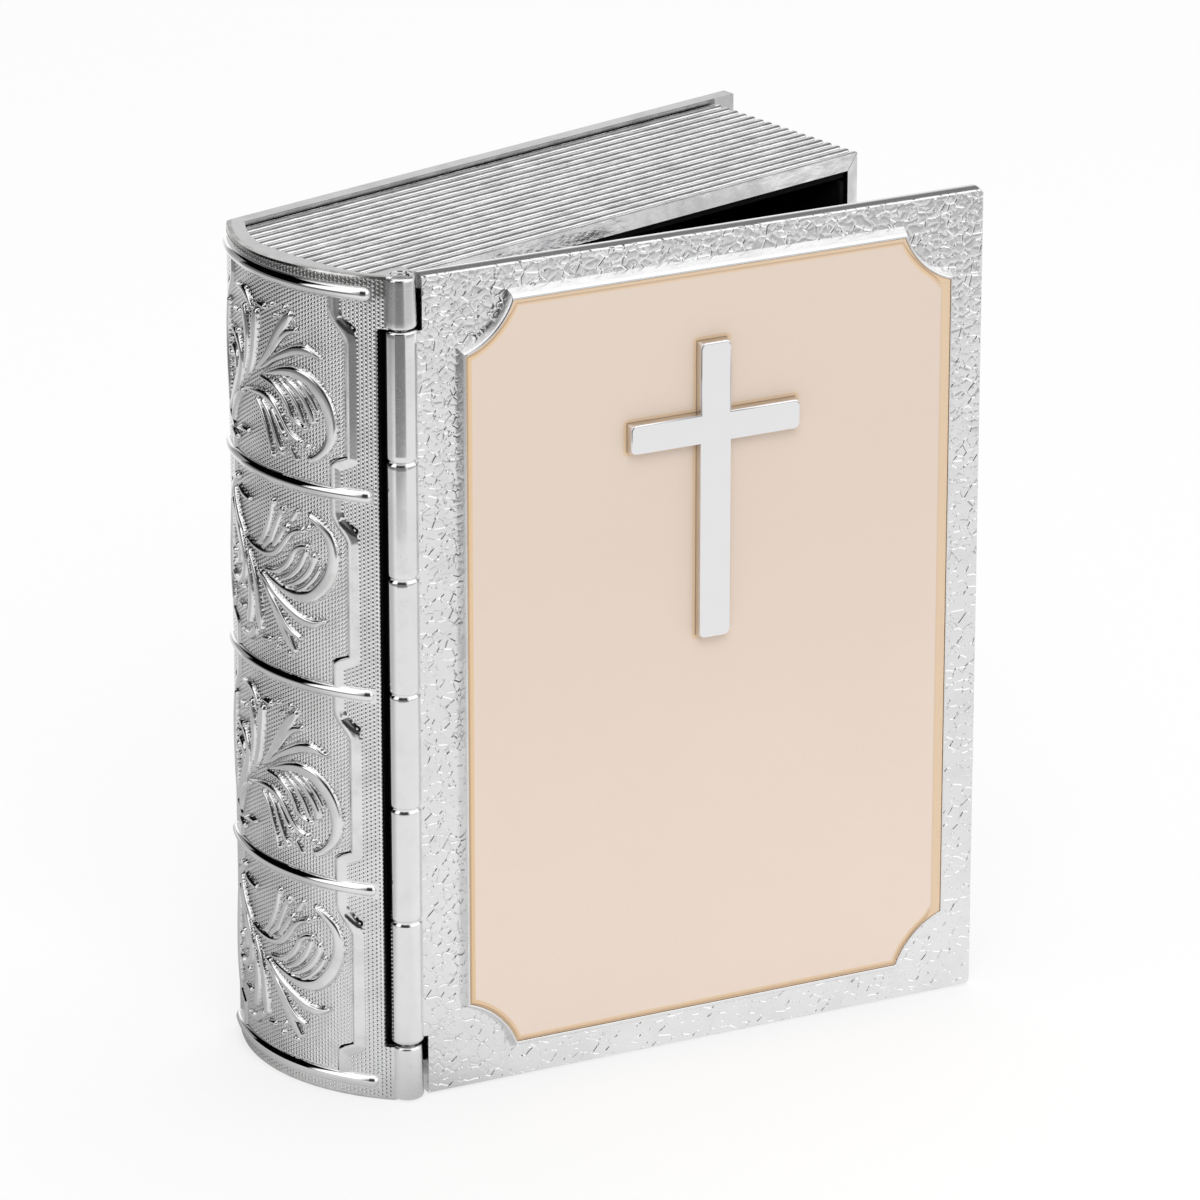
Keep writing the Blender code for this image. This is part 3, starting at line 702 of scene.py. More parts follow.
def enamel_finish():
    material, tree, place = new_material("beige_enamel")
    edge = marked(tree, "edge_tint_and_glint")
    specks = use_group(tree, DUST, {"Place": place, "Fineness": 2.6, "Amount": 0.25})["Specks"]
    drift = noise(tree, place, 0.06, 3.0)
    # Painted light: the enamel is made lighter towards the bottom, with a slow random drift
    height_now = add(tree, "ShaderNodeSeparateXYZ", {0: place}).outputs["Z"]
    low_down = plus(tree, ramp(tree, height_now, 45.0, 5.0, kind="LINEAR"),
                    times(tree, maths(tree, "SUBTRACT", drift, 0.5), 0.3))
    body = mix_colour(tree, low_down, (0.80, 0.67, 0.57, 1), (0.885, 0.745, 0.645, 1))
    dotted = mix_colour(tree, times(tree, specks, 0.12), body, (0.62, 0.50, 0.40, 1))
    # Painted light at the rims: a golden band of edge tint and painted reflection, and a brown line of
    # painted shadow
    brown = marked(tree, "edge_shadow_brown")
    golden = mix_colour(tree, ramp(tree, edge, 0.0, 1.0, kind="LINEAR"), dotted, (0.80, 0.58, 0.36, 1))
    rimmed = mix_colour(tree, ramp(tree, brown, 0.0, 1.0, kind="LINEAR"), golden, (0.47, 0.31, 0.20, 1))
    waves = noise(tree, place, 0.5, 3.0)
    height = plus(tree, times(tree, waves, 0.01), times(tree, specks, 0.006))
    rough = plus(tree, ramp(tree, waves, 0.3, 0.7, 0.34, 0.42), times(tree, specks, 0.1))
    shader = add(tree, "ShaderNodeBsdfPrincipled",
                 {"Base Color": rimmed, "Roughness": rough, "Normal": bumped(tree, height),
                  "Specular IOR Level": 0.3})
    close_material(tree, shader)
    return material


def velvet_finish():
    material, tree, place = new_material("black_velvet")
    nap = noise(tree, place, 9.0, 3.0)
    brushed = noise(tree, place, 0.4, 2.0)
    lint = use_group(tree, DUST, {"Place": place, "Fineness": 1.1, "Amount": 0.06})["Specks"]
    pile = mix_colour(tree, ramp(tree, brushed, 0.35, 0.65),
                      (0.003, 0.003, 0.0035, 1), (0.007, 0.007, 0.0075, 1))
    colour = mix_colour(tree, times(tree, lint, 0.5), pile, (0.12, 0.12, 0.12, 1))
    shader = add(tree, "ShaderNodeBsdfPrincipled",
                 {"Base Color": colour, "Roughness": ramp(tree, nap, 0.3, 0.7, 0.85, 1.0),
                  "Normal": bumped(tree, times(tree, nap, 0.06)), "Specular IOR Level": 0.15,
                  "Sheen Weight": 0.05, "Sheen Roughness": 0.4, "Sheen Tint": (0.3, 0.3, 0.32, 1)})
    close_material(tree, shader)
    return material


BRIGHT = silver("silver_plate")
CORE_SILVER = silver("silver_plate_core", painted_shade=face_painted_shade, painted_black=core_painted_black, dull=(0.3, 0.3, 0.3))
BAND_SILVER = silver("silver_plate_bands", roughness=0.045, clouds=0.02, scratches=0.1)
KNUCKLE_SILVER = silver("silver_plate_knuckles", roughness=0.24)
SPINE_SILVER = silver("silver_plate_spine", roughness=0.13, scratches=0.1, dull=(0.50, 0.49, 0.47),
                      relief=knurled, painted_shade=spine_painted_shade, painted_black=spine_painted_black)
GRAINED_SILVER = silver("silver_plate_grained", roughness=0.14, relief=grain_relief, scratches=0.05)
RIBBED_SILVER = silver("silver_plate_ribbed", roughness=0.12, clouds=0.02, scratches=0.1,
                       dull=(0.12, 0.12, 0.12), relief=rib_relief, painted_shade=rib_painted_shade, painted_black=rib_painted_black)
POLISHED = silver("polished_silver", bright=(0.94, 0.94, 0.95), dull=(0.72, 0.70, 0.71), roughness=0.08,
                  clouds=0.0, scratches=0.06, pits=0.1, painted_shade=face_painted_shade, fade=0.1)
PIN_STEEL = silver("pin_steel", bright=(0.72, 0.72, 0.73), dull=(0.5, 0.5, 0.5), roughness=0.25)
ENAMEL = enamel_finish()
VELVET = velvet_finish()


# The spine's relief

# Pressed leaves as (arc length, height, half width) points, read at the highest panel.
LEAF_MIDDLE = 60.3
LEAVES = [
    # the crescent leaf and the big scroll that closes round the fronds
    [(-1.4, 60.5, .12), (-.4, 61.15, .2), (.6, 61.9, .26), (1.8, 62.6, .34), (3, 63.15, .38),
     (4.2, 63.3, .34), (5.4, 62.95, .1)],
    [(-.7, 60.3, .12), (.4, 60.75, .25), (1.6, 61.15, .34), (2.9, 61.3, .42), (4.2, 60.95, .46),
     (5.1, 60.2, .5), (5.8, 59.2, .5), (6.2, 58, .46), (6.25, 56.8, .42), (5.9, 55.7, .38),
     (5.1, 54.85, .3), (4.2, 54.3, .22)],
    # fronds inside the scroll
    [(2.5, 60.95, .12), (3.6, 60.35, .2), (4.5, 59.4, .24), (5, 58.6, .2)],
    [(1.6, 60.65, .15), (2.8, 60.1, .26), (3.8, 59.2, .3), (4.4, 58.2, .3), (4.5, 57.6, .28)],
    [(1, 60.35, .12), (2.1, 59.75, .24), (3, 58.8, .28), (3.5, 57.9, .26), (3.75, 57.3, .2)],
    [(-1.1, 60, .12), (.3, 59.8, .22), (1.4, 59.2, .28), (2.1, 58.4, .28), (2.5, 57.6, .26),
     (3.1, 57.1, .22), (3.8, 56.9, .2)],
    [(-3.8, 58.2, .1), (-2.4, 58.5, .2), (-.8, 58.6, .28), (.4, 58.2, .3), (1.2, 57.4, .28),
     (1.9, 56.5, .26), (2.6, 55.9, .22), (3.4, 55.6, .2)],
    # fronds that hang below it
    [(-1.7, 58, .2), (-1, 57.2, .24), (-.4, 56, .24), (0, 54.9, .2), (.2, 53.9, .15)],
    [(-.9, 58, .22), (-.1, 57.2, .26), (.5, 56, .26), (1, 55, .24), (1.35, 54.4, .26)],
    [(.3, 57.6, .2), (.9, 56.8, .24), (1.4, 56.1, .24), (1.8, 55.7, .28)],
    [(2.35, 54.95, .2), (2.9, 54.15, .2)],
    # upright leaves
    [(-1.7, 60.4, .12), (-.9, 61.3, .26), (-.1, 62.3, .34), (.6, 63.4, .4), (1.3, 64.5, .42),
     (2, 65.4, .42), (2.4, 65.9, .3)],
    [(-.6, 61.3, .1), (.5, 62.6, .18), (1.4, 63.8, .24), (2.2, 64.5, .26), (3, 64.8, .2)],
    [(-3.4, 59.2, .15), (-2.7, 60.3, .26), (-2.25, 61.5, .34), (-2, 63, .38), (-1.85, 64.3, .42),
     (-1.7, 65.1, .34)],
    [(-3.6, 60, .15), (-3.2, 61.5, .28), (-3.1, 63, .34), (-3.3, 64.3, .36), (-3.5, 65.1, .3)],
    # the curl on the left, and the leaves beyond the photograph's sight
    [(-6.6, 56, .3), (-5.8, 57.2, .4), (-5, 58.4, .45), (-4.4, 59.5, .42), (-4.1, 60.6, .36),
     (-4.4, 61.6, .34), (-5.2, 62.3, .3), (-6.2, 62.5, .25), (-7, 62.3, .18)],
    [(-5, 59.6, .3), (-5.2, 60.6, .3), (-6, 61, .25)],
    [(-4.2, 57.9, .2), (-5.2, 57, .3), (-5.9, 55.9, .3), (-6.2, 54.9, .2)],
    [(-5.2, 54.4, .15), (-4.3, 54.7, .26), (-3.2, 54.8, .16)],
    [(-6.6, 54, .15), (-5.5, 53.6, .28)],
    [(-7.2, 64.5, .25), (-7.6, 62.5, .3), (-7.6, 60.2, .3), (-7.3, 58, .3), (-7.1, 56.2, .2)],
    # small tips above the upright leaves
    [(-1.4, 66, .16), (-.6, 65.9, .2)],
    [(-4.9, 66.5, .15), (-3.6, 66.5, .3), (-2.8, 66, .3), (-2.3, 65.5, .2)],
    [(-5.6, 64.3, .15), (-4.6, 64.4, .22)],
]
BEADS = [(1.35, 54.4, .36), (1.8, 55.75, .34), (4, 55.3, .24), (4.5, 55.15, .22), (4.3, 54.45, .24),
         (3.85, 56.9, .26), (3.4, 55.6, .26), (.25, 53.9, .24), (.4, 66.35, .22), (.7, 65.5, .2),
         (1.9, 66.4, .24), (-6.6, 60.3, .35), (-5.8, 59.6, .28), (-6.7, 61.4, .25), (-4.8, 62.7, .28)]
LEAF_PEAK = 0.5
LEAF_LIMIT = 0.385
LEAF_SPREAD = 1.2
FRAME_WIDE = 7.88
FRAME_NARROW = 6.5
FRAME_HALF = 0.52
FRAME_STAND = 0.19
# Where the pipped ground ends on the spine, by arc length: beside the barrel, and elsewhere
GROUND_END_AT_BARREL = 9.98
GROUND_END = 10.72


def curve_through(points, steps=5):
    points = np.array(points, float)
    ends = np.vstack([2 * points[0] - points[1], points, 2 * points[-1] - points[-2]])
    run = []
    for a, b, c, d in zip(ends, ends[1:], ends[2:], ends[3:]):
        for t in np.arange(steps) / steps:
            run.append(0.5 * (2 * b + (c - a) * t + (2 * a - 5 * b + 4 * c - d) * t ** 2
                              + (3 * b - a - 3 * c + d) * t ** 3))
    run.append(points[-1])
    return np.array(run)


def raise_line(height, s, z, line, peak, roundness=0.6):
    """Raises a rounded ridge along a line of (s, z, half width) points."""
    for (s0, z0, w0), (s1, z1, w1) in zip(line, line[1:]):
        reach = max(w0, w1)
        near = (np.abs(s - (s0 + s1) / 2) < abs(s1 - s0) / 2 + reach) & \
               (np.abs(z - (z0 + z1) / 2) < abs(z1 - z0) / 2 + reach)
        if not near.any():
            continue
        ds, dz = s1 - s0, z1 - z0
        t = np.clip(((s[near] - s0) * ds + (z[near] - z0) * dz) / (ds * ds + dz * dz + 1e-12), 0, 1)
        away = np.hypot(s[near] - s0 - t * ds, z[near] - z0 - t * dz)
        wide = w0 + t * (w1 - w0)
        full = np.clip(1 - (away / wide) ** 2, 0, 1)
        height[near] = np.maximum(height[near], peak * np.sqrt(wide / 0.42) * full ** roundness)


def smooth_step(low, high, value):
    t = np.clip((value - low) / (high - low), 0, 1)
    return t * t * (3 - 2 * t)


def frame_side(z, low, high):
    """Where a panel frame's long side runs: drawn in near both bands with a soft double bend."""
    out = smooth_step(low + 2.2, low + 3.05, z) * smooth_step(high - 1.5, high - 4.1, z)
    return FRAME_NARROW + (FRAME_WIDE - FRAME_NARROW) * out


def from_frame(s, z, low, high):
    """How far each place lies outside the frame's middle line, measured square to it."""
    off = np.abs(s) - frame_side(z, low, high)
    close = np.abs(off) < 2.2
    steps = np.linspace(low - 1, high + 1, 260)
    line = frame_side(steps, low, high)
    away = np.hypot(np.abs(s[close])[:, None] - line, z[close][:, None] - steps).min(axis=1)
    off[close] = np.sign(off[close]) * away
    return off


def spine_relief(s, z, number):
    """The relief's height, the pipped ground inside and outside the frame, the painted shade and the painted
    black.
    """
    low, high = BAND_HEIGHTS[number], BAND_HEIGHTS[number + 1]
    middle = (low + high) / 2
    flip = -1 if number % 2 == 0 else 1
    leaf_z = LEAF_MIDDLE + flip * (z - middle)
    leaves = np.zeros_like(s)
    for leaf in LEAVES:
        wide = curve_through(leaf)
        wide[:, 2] *= LEAF_SPREAD
        raise_line(leaves, s, leaf_z, wide, LEAF_PEAK)
    for bs, bz, size in BEADS:
        raise_line(leaves, s, leaf_z, [(bs - .02, bz, size), (bs + .02, bz, size)], LEAF_PEAK * 1.25, 0.5)
    leaves = leaves / (1 + (leaves / LEAF_LIMIT) ** 5) ** 0.2
    off = from_frame(s, z, low, high)
    in_panel = (z > low) & (z < high)
    rail = (FRAME_STAND * smooth_step(-FRAME_HALF, -0.3, off) * (1 - 0.5 * smooth_step(-0.1, 0.46, off))
            * smooth_step(FRAME_HALF + 0.04, FRAME_HALF - 0.06, off) * in_panel)
    barrel_side = (s > 0) & (z > LOWER_KNUCKLE[1]) & (z < UPPER_KNUCKLE[0])
    last = np.where(barrel_side, GROUND_END_AT_BARREL, GROUND_END)
    off_bands = [np.maximum(np.abs(z - b), np.abs(s) - BAND_REACH + 0.5) for b in BAND_HEIGHTS]
    clear = smooth_step(BAND_RADIUS, BAND_RADIUS + 0.14, np.min(off_bands, axis=0))
    inner = (smooth_step(-FRAME_HALF + 0.02, -FRAME_HALF - 0.12, off) * in_panel
             * smooth_step(0.02, 0.0, leaves) * clear)
    outer = (np.where(in_panel, smooth_step(FRAME_HALF, FRAME_HALF + 0.1, off), 1.0)
             * smooth_step(last, last - 0.12, np.abs(s)) * clear)
    lip = -0.1 * np.clip((s - GROUND_END_AT_BARREL) / 0.17, 0, 1) ** 2 * barrel_side
    rim = smooth_step(0.2, 0.04, np.minimum(z, CASE_HEIGHT - z))
    plain = smooth_step(0.16, 0.3, np.minimum(z, CASE_HEIGHT - z))
    pocket = np.zeros_like(s)
    bend = frame_side(np.array([high - 2.0, high - 3.1]), low, high) + (0.52, 0.68)
    raise_line(pocket, np.abs(s), z, [(bend[0], high - 2.3, 0.3), (bend[1], high - 3.0, 0.28)], 1.0, 0.35)
    pocket = np.clip(pocket * 2, 0, 1) * in_panel
    lip = lip - 0.07 * rim - 0.07 * pocket
    # Painted shade: the ground just beside each leaf is darkened
    hollow = smooth_step(0.08, 0.0, leaves) * smooth_step(0.05, 0.0, rail)
    shadow = np.zeros_like(s)
    for leaf in LEAVES:
        wider = curve_through(leaf)
        wider[:, 2] += 0.22
        raise_line(shadow, s, leaf_z, wider, 1.0, 1.0)
    # Painted shade: the ground near the top band is darkened, less near the bottom one, and with the case's
    # edges this makes the painted shade mask
    ends = 0.75 * smooth_step(67.4, 68.6, z) + 0.35 * smooth_step(2.6, 1.4, z)
    painted_shade = np.maximum.reduce([np.clip(shadow * 1.3, 0, 1) * hollow, rim, ends * clear])
    # Painted shade in black: the ground between the top band and the rim, the small pockets and the skin's
    # edge at the barrel
    border = 0.47 * smooth_step(67.4, 68.6, z) * smooth_step(0.14, 0.32, CASE_HEIGHT - z) * clear
    black = np.maximum.reduce([pocket * (rail < 0.02), 2 * smooth_step(10.02, 10.1, s) * barrel_side, border])
    return np.maximum(leaves, rail) + lip, inner * plain, outer * plain, painted_shade, black


def top_fall(y):
    """How much lower the case's top edge lies towards the back."""
    return TOP_FALL * smooth_step(-15.0, -2.0, y)


def bend_round_spine(mesh, relief=None):
    """Takes a mesh laid out flat as (arc length, height, stand) to its place round the spine, in metres."""
    count = len(mesh.vertices)
    flat = np.zeros(count * 3)
    mesh.vertices.foreach_get("co", flat)
    s, z, stand = flat.reshape(-1, 3).T
    radius = SPINE_RADIUS + stand
    if relief is not None:
        height, inner, outer, painted_shade, black = relief(s, z)
        front = stand > -SKIN / 2
        radius = radius + height * front
        # The third share of spine_place carries the painted black, and the third of spine_zone the painted
        # shade
        place = mesh.attributes.new("spine_place", "FLOAT_VECTOR", "POINT")
        place.data.foreach_set("vector", np.stack([s, z, black], -1).astype(np.float32).ravel())
        zone = mesh.attributes.new("spine_zone", "FLOAT_VECTOR", "POINT")
        zone.data.foreach_set("vector", np.stack([inner, outer, painted_shade], -1).astype(np.float32).ravel())
    turn = s / SPINE_RADIUS
    y = SPINE_CENTRE[1] - radius * np.sin(turn)
    drop = top_fall(y) * smooth_step(CASE_HEIGHT - 0.8, CASE_HEIGHT - 0.1, z)
    bent = np.stack([SPINE_CENTRE[0] - radius * np.cos(turn), y, z - drop], -1) * MM
    mesh.vertices.foreach_set("co", bent.astype(np.float32).ravel())
    mesh.update()


def recalculated(mesh):
    """Turns the faces outwards after a bend that mirrors the layout."""
    shape = bmesh.new()
    shape.from_mesh(mesh)
    face_outwards(shape)
    shape.to_mesh(mesh)
    shape.free()


def close_back(shape, step):
    """Closes a skin's back with one tall face for each column of its grid."""
    rim = {edge for edge in shape.edges if edge.is_boundary}
    upright = []
    for v in {v for edge in rim for v in edge.verts}:
        ends = [edge.other_vert(v) for edge in v.link_edges if edge in rim]
        if all(abs(end.co.x - v.co.x) < 1e-4 for end in ends):
            upright.append(v)
    bmesh.ops.dissolve_verts(shape, verts=upright)
    columns = {}
    for v in {v for edge in shape.edges if edge.is_boundary for v in edge.verts}:
        columns.setdefault(round(v.co.x / step), []).append(v)
    keys = sorted(columns)
    for here, there in zip(keys, keys[1:]):
        left, right = (sorted(columns[key], key=lambda v: v.co.y) for key in (here, there))
        low = max(left[0].co.y, right[0].co.y) - 1e-4
        high = min(left[-1].co.y, right[-1].co.y) + 1e-4
        if len(left) == 3 and len(right) == 3:
            low, high = left[0].co.y - 1e-4, left[-1].co.y + 1e-4
        shape.faces.new([v for v in left if low < v.co.y < high]
                        + [v for v in reversed(right) if low < v.co.y < high])


def make_spine_panel(number):
    """One panel of the spine's skin: a fine grid with its leaves, notched beside the barrel."""
    low = 0.0 if number == 0 else BAND_HEIGHTS[number]
    high = CASE_HEIGHT if number == 3 else BAND_HEIGHTS[number + 1]
    columns, tall = round(2 * SPINE_EDGE / SKIN_GRID), high - low
    step = 2 * SPINE_EDGE / columns
    shape = bmesh.new()
    bmesh.ops.create_grid(shape, x_segments=columns, y_segments=round(tall / SKIN_GRID), size=0.5)
    bmesh.ops.scale(shape, vec=(2 * SPINE_EDGE, tall, 1), verts=shape.verts)
    bmesh.ops.translate(shape, vec=(0, low + tall / 2, 0), verts=shape.verts)
    gone = []
    for face in shape.faces:
        middle = face.calc_center_median()
        if middle.x > SKIN_NOTCH and LOWER_KNUCKLE[1] < middle.y < UPPER_KNUCKLE[0]:
            gone.append(face)
    bmesh.ops.delete(shape, geom=gone, context="FACES")
    rim = [edge for edge in shape.edges if edge.is_boundary]
    back = verts_of(bmesh.ops.extrude_edge_only(shape, edges=rim))
    bmesh.ops.translate(shape, vec=(0, 0, -SKIN), verts=back)
    close_back(shape, step)
    face_outwards(shape)
    mesh = as_mesh(shape, "spine_panel")
    bend_round_spine(mesh, lambda s, z: spine_relief(s, z, number))
    recalculated(mesh)
    return file_piece(f"spine_panel_{number + 1}", mesh, SPINE_SILVER, "case", smooth=60.0,
                      level=False)


def make_band(number):
    """One raised band: a capsule laid round the spine and sunk to half its depth."""
    reach = BAND_REACH - BAND_RADIUS
    shape = bmesh.new()
    bmesh.ops.create_uvsphere(shape, u_segments=28, v_segments=13, radius=BAND_RADIUS)
    bmesh.ops.rotate(shape, cent=(0, 0, 0), matrix=Matrix.Rotation(math.pi / 2, 3, "Y"), verts=shape.verts)
    for side in (-1, 1):
        half = [v for v in shape.verts if v.co.x * side > 0]
        bmesh.ops.translate(shape, vec=(side * reach, 0, 0), verts=half)
    long_edges = [edge for edge in shape.edges if abs(edge.verts[0].co.x - edge.verts[1].co.x) > reach]
    bmesh.ops.subdivide_edges(shape, edges=long_edges, cuts=72, use_grid_fill=True)
    bmesh.ops.translate(shape, vec=(0, BAND_HEIGHTS[number], BAND_STAND - BAND_RADIUS), verts=shape.verts)
    mesh = as_mesh(shape, "raised_band")
    bend_round_spine(mesh)
    recalculated(mesh)
    file_piece(f"raised_band_{number + 1}", mesh, BAND_SILVER, "case", smooth=60.0,
               level=False)


# The case's pieces

def rim_plan(slack):
    """The plan of the room for a page strip: inside the crescent of the spine's rim, behind the knuckle."""
    along, thick = zip(*RIM)
    places = np.linspace(-10.6, 9.3, 60)
    curve = [on_spine(a, SPINE_RADIUS - np.interp(a, along, thick) - slack) for a in places]
    back = BOARD_INNER + 0.03 - slack
    curve = [(x, y) for x, y in curve if y < back]
    front = HINGE[1] + BARREL_RADIUS + 0.05 + slack
    return [(PAGE_RIGHT + STRIP_ROOM - slack, back), (curve[0][0] + 0.02, back), *curve,
            (curve[-1][0] + 0.3, front), (SPINE_LIP + 0.5, front)]


def make_case_core():
    """The back board and the spine wall behind its skin, with the groove that the barrel turns in."""
    columns = round(2 * SPINE_EDGE / SKIN_GRID)
    skin_seat = [on_spine(a, SPINE_RADIUS - SKIN) for a in np.linspace(-SPINE_EDGE, SPINE_EDGE, columns + 1)]
    inner = SPINE_RADIUS - SPINE_WALL
    rail_back = HINGE[1] + BARREL_ROOM + 0.7
    start = math.pi + math.asin((SPINE_CENTRE[1] - rail_back) / inner)
    end = math.pi + math.asin((SPINE_CENTRE[1] - BOARD_INNER) / inner)
    hollow = arc(SPINE_CENTRE, inner, start, end, 60)
    outline = [(BOARD_RIGHT, BOARD_BACK), (-BOARD_RIGHT, BOARD_BACK), *skin_seat, (-BOARD_RIGHT, CASE_FRONT),
               (SPINE_LIP, CASE_FRONT), (SPINE_LIP, rail_back), *hollow, (BOARD_RIGHT, BOARD_INNER)]
    shape = standing(outline, 0.0, CASE_HEIGHT)
    soften(shape, 0.8, 5, 30.0, lambda edge: all(v.co.x < 0.01 - BOARD_RIGHT and v.co.y > BOARD_BACK - 0.01
                                                 for v in edge.verts))
    shape = carved(shape, rod(BARREL_ROOM, LOWER_KNUCKLE[1], UPPER_KNUCKLE[0], HINGE, 96))
    shape = carved(shape, rod(BORE, -PAST_END, CASE_HEIGHT + PAST_END, HINGE, 48))
    room = rim_plan(0.0) + [(SPINE_LIP + 0.5, CASE_FRONT - 1), (PAGE_RIGHT + STRIP_ROOM, CASE_FRONT - 1)]
    shape = carved(shape, standing(room, CASE_HEIGHT - RIM_DEPTH, CASE_HEIGHT + PAST_END))
    shape = carved(shape, standing(room, -PAST_END, RIM_DEPTH))
    soften(shape, 0.1, 2, 60.0, lambda edge: all(v.co.x > 23 or v.co.y > 0.5 for v in edge.verts))
    for v in shape.verts:
        if v.co.z > CASE_HEIGHT - 0.12:
            v.co.z -= top_fall(v.co.y)
    painted_dark_face = shape.faces.layers.float.new("painted_dark_face")
    painted_black = shape.faces.layers.float.new("painted_black")
    shape.normal_update()
    for face in shape.faces:
        middle = face.calc_center_median()
        at_end = abs(middle.z - CASE_HEIGHT / 2) > CASE_HEIGHT / 2 - RIM_DEPTH
        # Painted shade: the board's inner faces above the ribs at each end are marked to be painted dark
        inward = abs(face.normal.z) < 0.3 and BOARD_INNER - 0.1 < middle.y < BOARD_INNER + 0.1
        face[painted_dark_face] = 1.0 if at_end and inward and middle.x < PAGE_RIGHT else 0.0
        # Painted shade: the walls of the groove round the barrel are marked to be painted black
        away = math.hypot(middle.x - HINGE[0], middle.y - HINGE[1])
        face[painted_black] = 1.0 if abs(face.normal.z) < 0.3 and abs(away - BARREL_ROOM) < 0.15 else 0.0
    case_piece("case_core", shape, CORE_SILVER, replaces=("case_shell",))


def knuckle(low, high):
    """A hollow knuckle with softly rounded ends."""
    full = BARREL_RADIUS - 0.04
    top = arc((full - 0.12 - KNUCKLE_ROUND, high - KNUCKLE_ROUND), KNUCKLE_ROUND, math.pi / 2, 0, 5)
    bottom = arc((full - KNUCKLE_ROUND, low + KNUCKLE_ROUND), KNUCKLE_ROUND, 0, -math.pi / 2, 5)
    profile = [(BORE, high - 0.06), (BORE + 0.06, high), *top, (full - 0.1, high - 0.7),
               (full - 0.02, low + 0.7), *bottom, (BORE, low), (BORE, high - 0.06)]
    return turned(profile, 120, HINGE)


def make_hinge_ends():
    """The case's two knuckles, each with its steel pin."""
    for name, span in (("upper_knuckle", UPPER_KNUCKLE), ("lower_knuckle", LOWER_KNUCKLE)):
        case_piece(name, knuckle(*span), KNUCKLE_SILVER)
    for node, (low, high) in (("upper_hinge_pin", UPPER_PIN), ("lower_hinge_pin", LOWER_PIN)):
        profile = [(0, high), (PIN * 0.5, high - 0.015), (PIN * 0.86, high - 0.05), (PIN, high - 0.14),
                   (PIN, low + 0.14), (PIN * 0.86, low + 0.03), (0, low)]
        case_piece(node + "_steel", turned(profile, 48, HINGE), PIN_STEEL, (node,))


def rib_section(depth):
    """The section of a page strip: crowned ribs with narrow grooves outside, and a flat wall inside."""
    pitch = depth / RIB_COUNT
    points = [(0.0, -PAGE_WALL)]
    for rib in range(RIB_COUNT):
        for across in RIB_SHARES:
            if rib == 0 and across < -0.5:
                continue
            crown = RIB_CROWN * abs(across) ** 2.4
            groove = (RIB_GROOVE - RIB_CROWN) * max(0.0, (abs(across) - 0.56) / 0.44) ** 1.4
            points.append((pitch * (rib + (1 + across) / 2), -crown - groove))
    points.append((depth, -0.05))
    points.append((depth, -PAGE_WALL))
    return points


def mark_grooves(shape, depth_of):
    """Marks how deep each corner lies in a groove, for the painted shade there."""
    layer = shape.verts.layers.float.new("groove_depth")
    for v in shape.verts:
        depth = depth_of(v.co)
        v[layer] = max(0.0, (depth - 0.12) / (RIB_GROOVE - 0.12)) if depth < RIB_GROOVE + 0.02 else 0.0


def mitred(shape, corner, away):
    """Cuts a strip at a slanted plane through a corner and closes the cut."""
    cut = bmesh.ops.bisect_plane(shape, geom=shape.verts[:] + shape.edges[:] + shape.faces[:], dist=0.0001,
                                 plane_co=corner, plane_no=away, clear_outer=True)
    rim = [item for item in cut["geom_cut"] if isinstance(item, bmesh.types.BMEdge)]
    bmesh.ops.holes_fill(shape, edges=rim)
    face_outwards(shape)


def make_page_strips():
    """The ribbed strips of the head, the tail and the fore-edge, mitred to each other."""
    depth = PAGE_BACK - PAGE_FRONT
    section = rib_section(depth)
    room = rim_plan(STRIP_SLIP)
    room = [(BOARD_RIGHT, room[0][1]), *room[1:], (SPINE_LIP + 0.5, PAST_FRONT), (BOARD_RIGHT, PAST_FRONT)]
    for name, level, sign in (("head_page_strip", PAGE_TOP, 1), ("tail_page_strip", PAGE_BOTTOM, -1)):
        ring = [(PAST_SPINE, PAGE_FRONT + across, level + sign * up) for across, up in section]
        shape = drawn_out(ring, (PAGE_RIGHT - PAST_SPINE, 0, 0))
        mitred(shape, (PAGE_RIGHT - STRIP_SLIP, 0, level), (1, 0, -sign))
        shape = carved(shape, standing(room, -PAST_END, CASE_HEIGHT + PAST_END), "INTERSECT")
        mark_grooves(shape, lambda at, level=level, sign=sign: sign * (level - at.z))
        case_piece(name + "_ribs", shape, RIBBED_SILVER, replaces=(name,), smooth=50.0)
    ring = [(PAGE_RIGHT + up, PAGE_FRONT + across, 0.0) for across, up in section]
    shape = drawn_out(ring, (0, 0, CASE_HEIGHT))
    mitred(shape, (PAGE_RIGHT, 0, PAGE_TOP - STRIP_SLIP), (-1, 0, 1))
    mitred(shape, (PAGE_RIGHT, 0, PAGE_BOTTOM + STRIP_SLIP), (-1, 0, -1))
    mark_grooves(shape, lambda at: PAGE_RIGHT - at.x)
    case_piece("fore_edge_page_strip_ribs", shape, RIBBED_SILVER, replaces=("fore_edge_page_strip",),
               smooth=50.0)


# The lining

def dress_linings():
    """Each velvet-covered card takes its CAD node's box or plan and gets soft edges."""
    for node in ("lining_floor", "lining_fore_edge", "lining_head", "lining_tail", "lining_spine",
                 "cover_lining"):
        source = bmesh.new()
        source.from_mesh(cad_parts[node].data)
        bmesh.ops.remove_doubles(source, verts=source.verts, dist=0.000001)
        bmesh.ops.dissolve_limit(source, angle_limit=math.radians(1), verts=source.verts, edges=source.edges)
        bmesh.ops.scale(source, vec=(1 / MM,) * 3, verts=source.verts)
        soften(source, 0.12, 3, 50.0)
        bmesh.ops.scale(source, vec=(MM,) * 3, verts=source.verts)
        body = "cover" if node == "cover_lining" else "case"
        file_piece(node + "_velvet", as_mesh(source, node), VELVET, body, (node,), 40.0)


# The cover's pieces

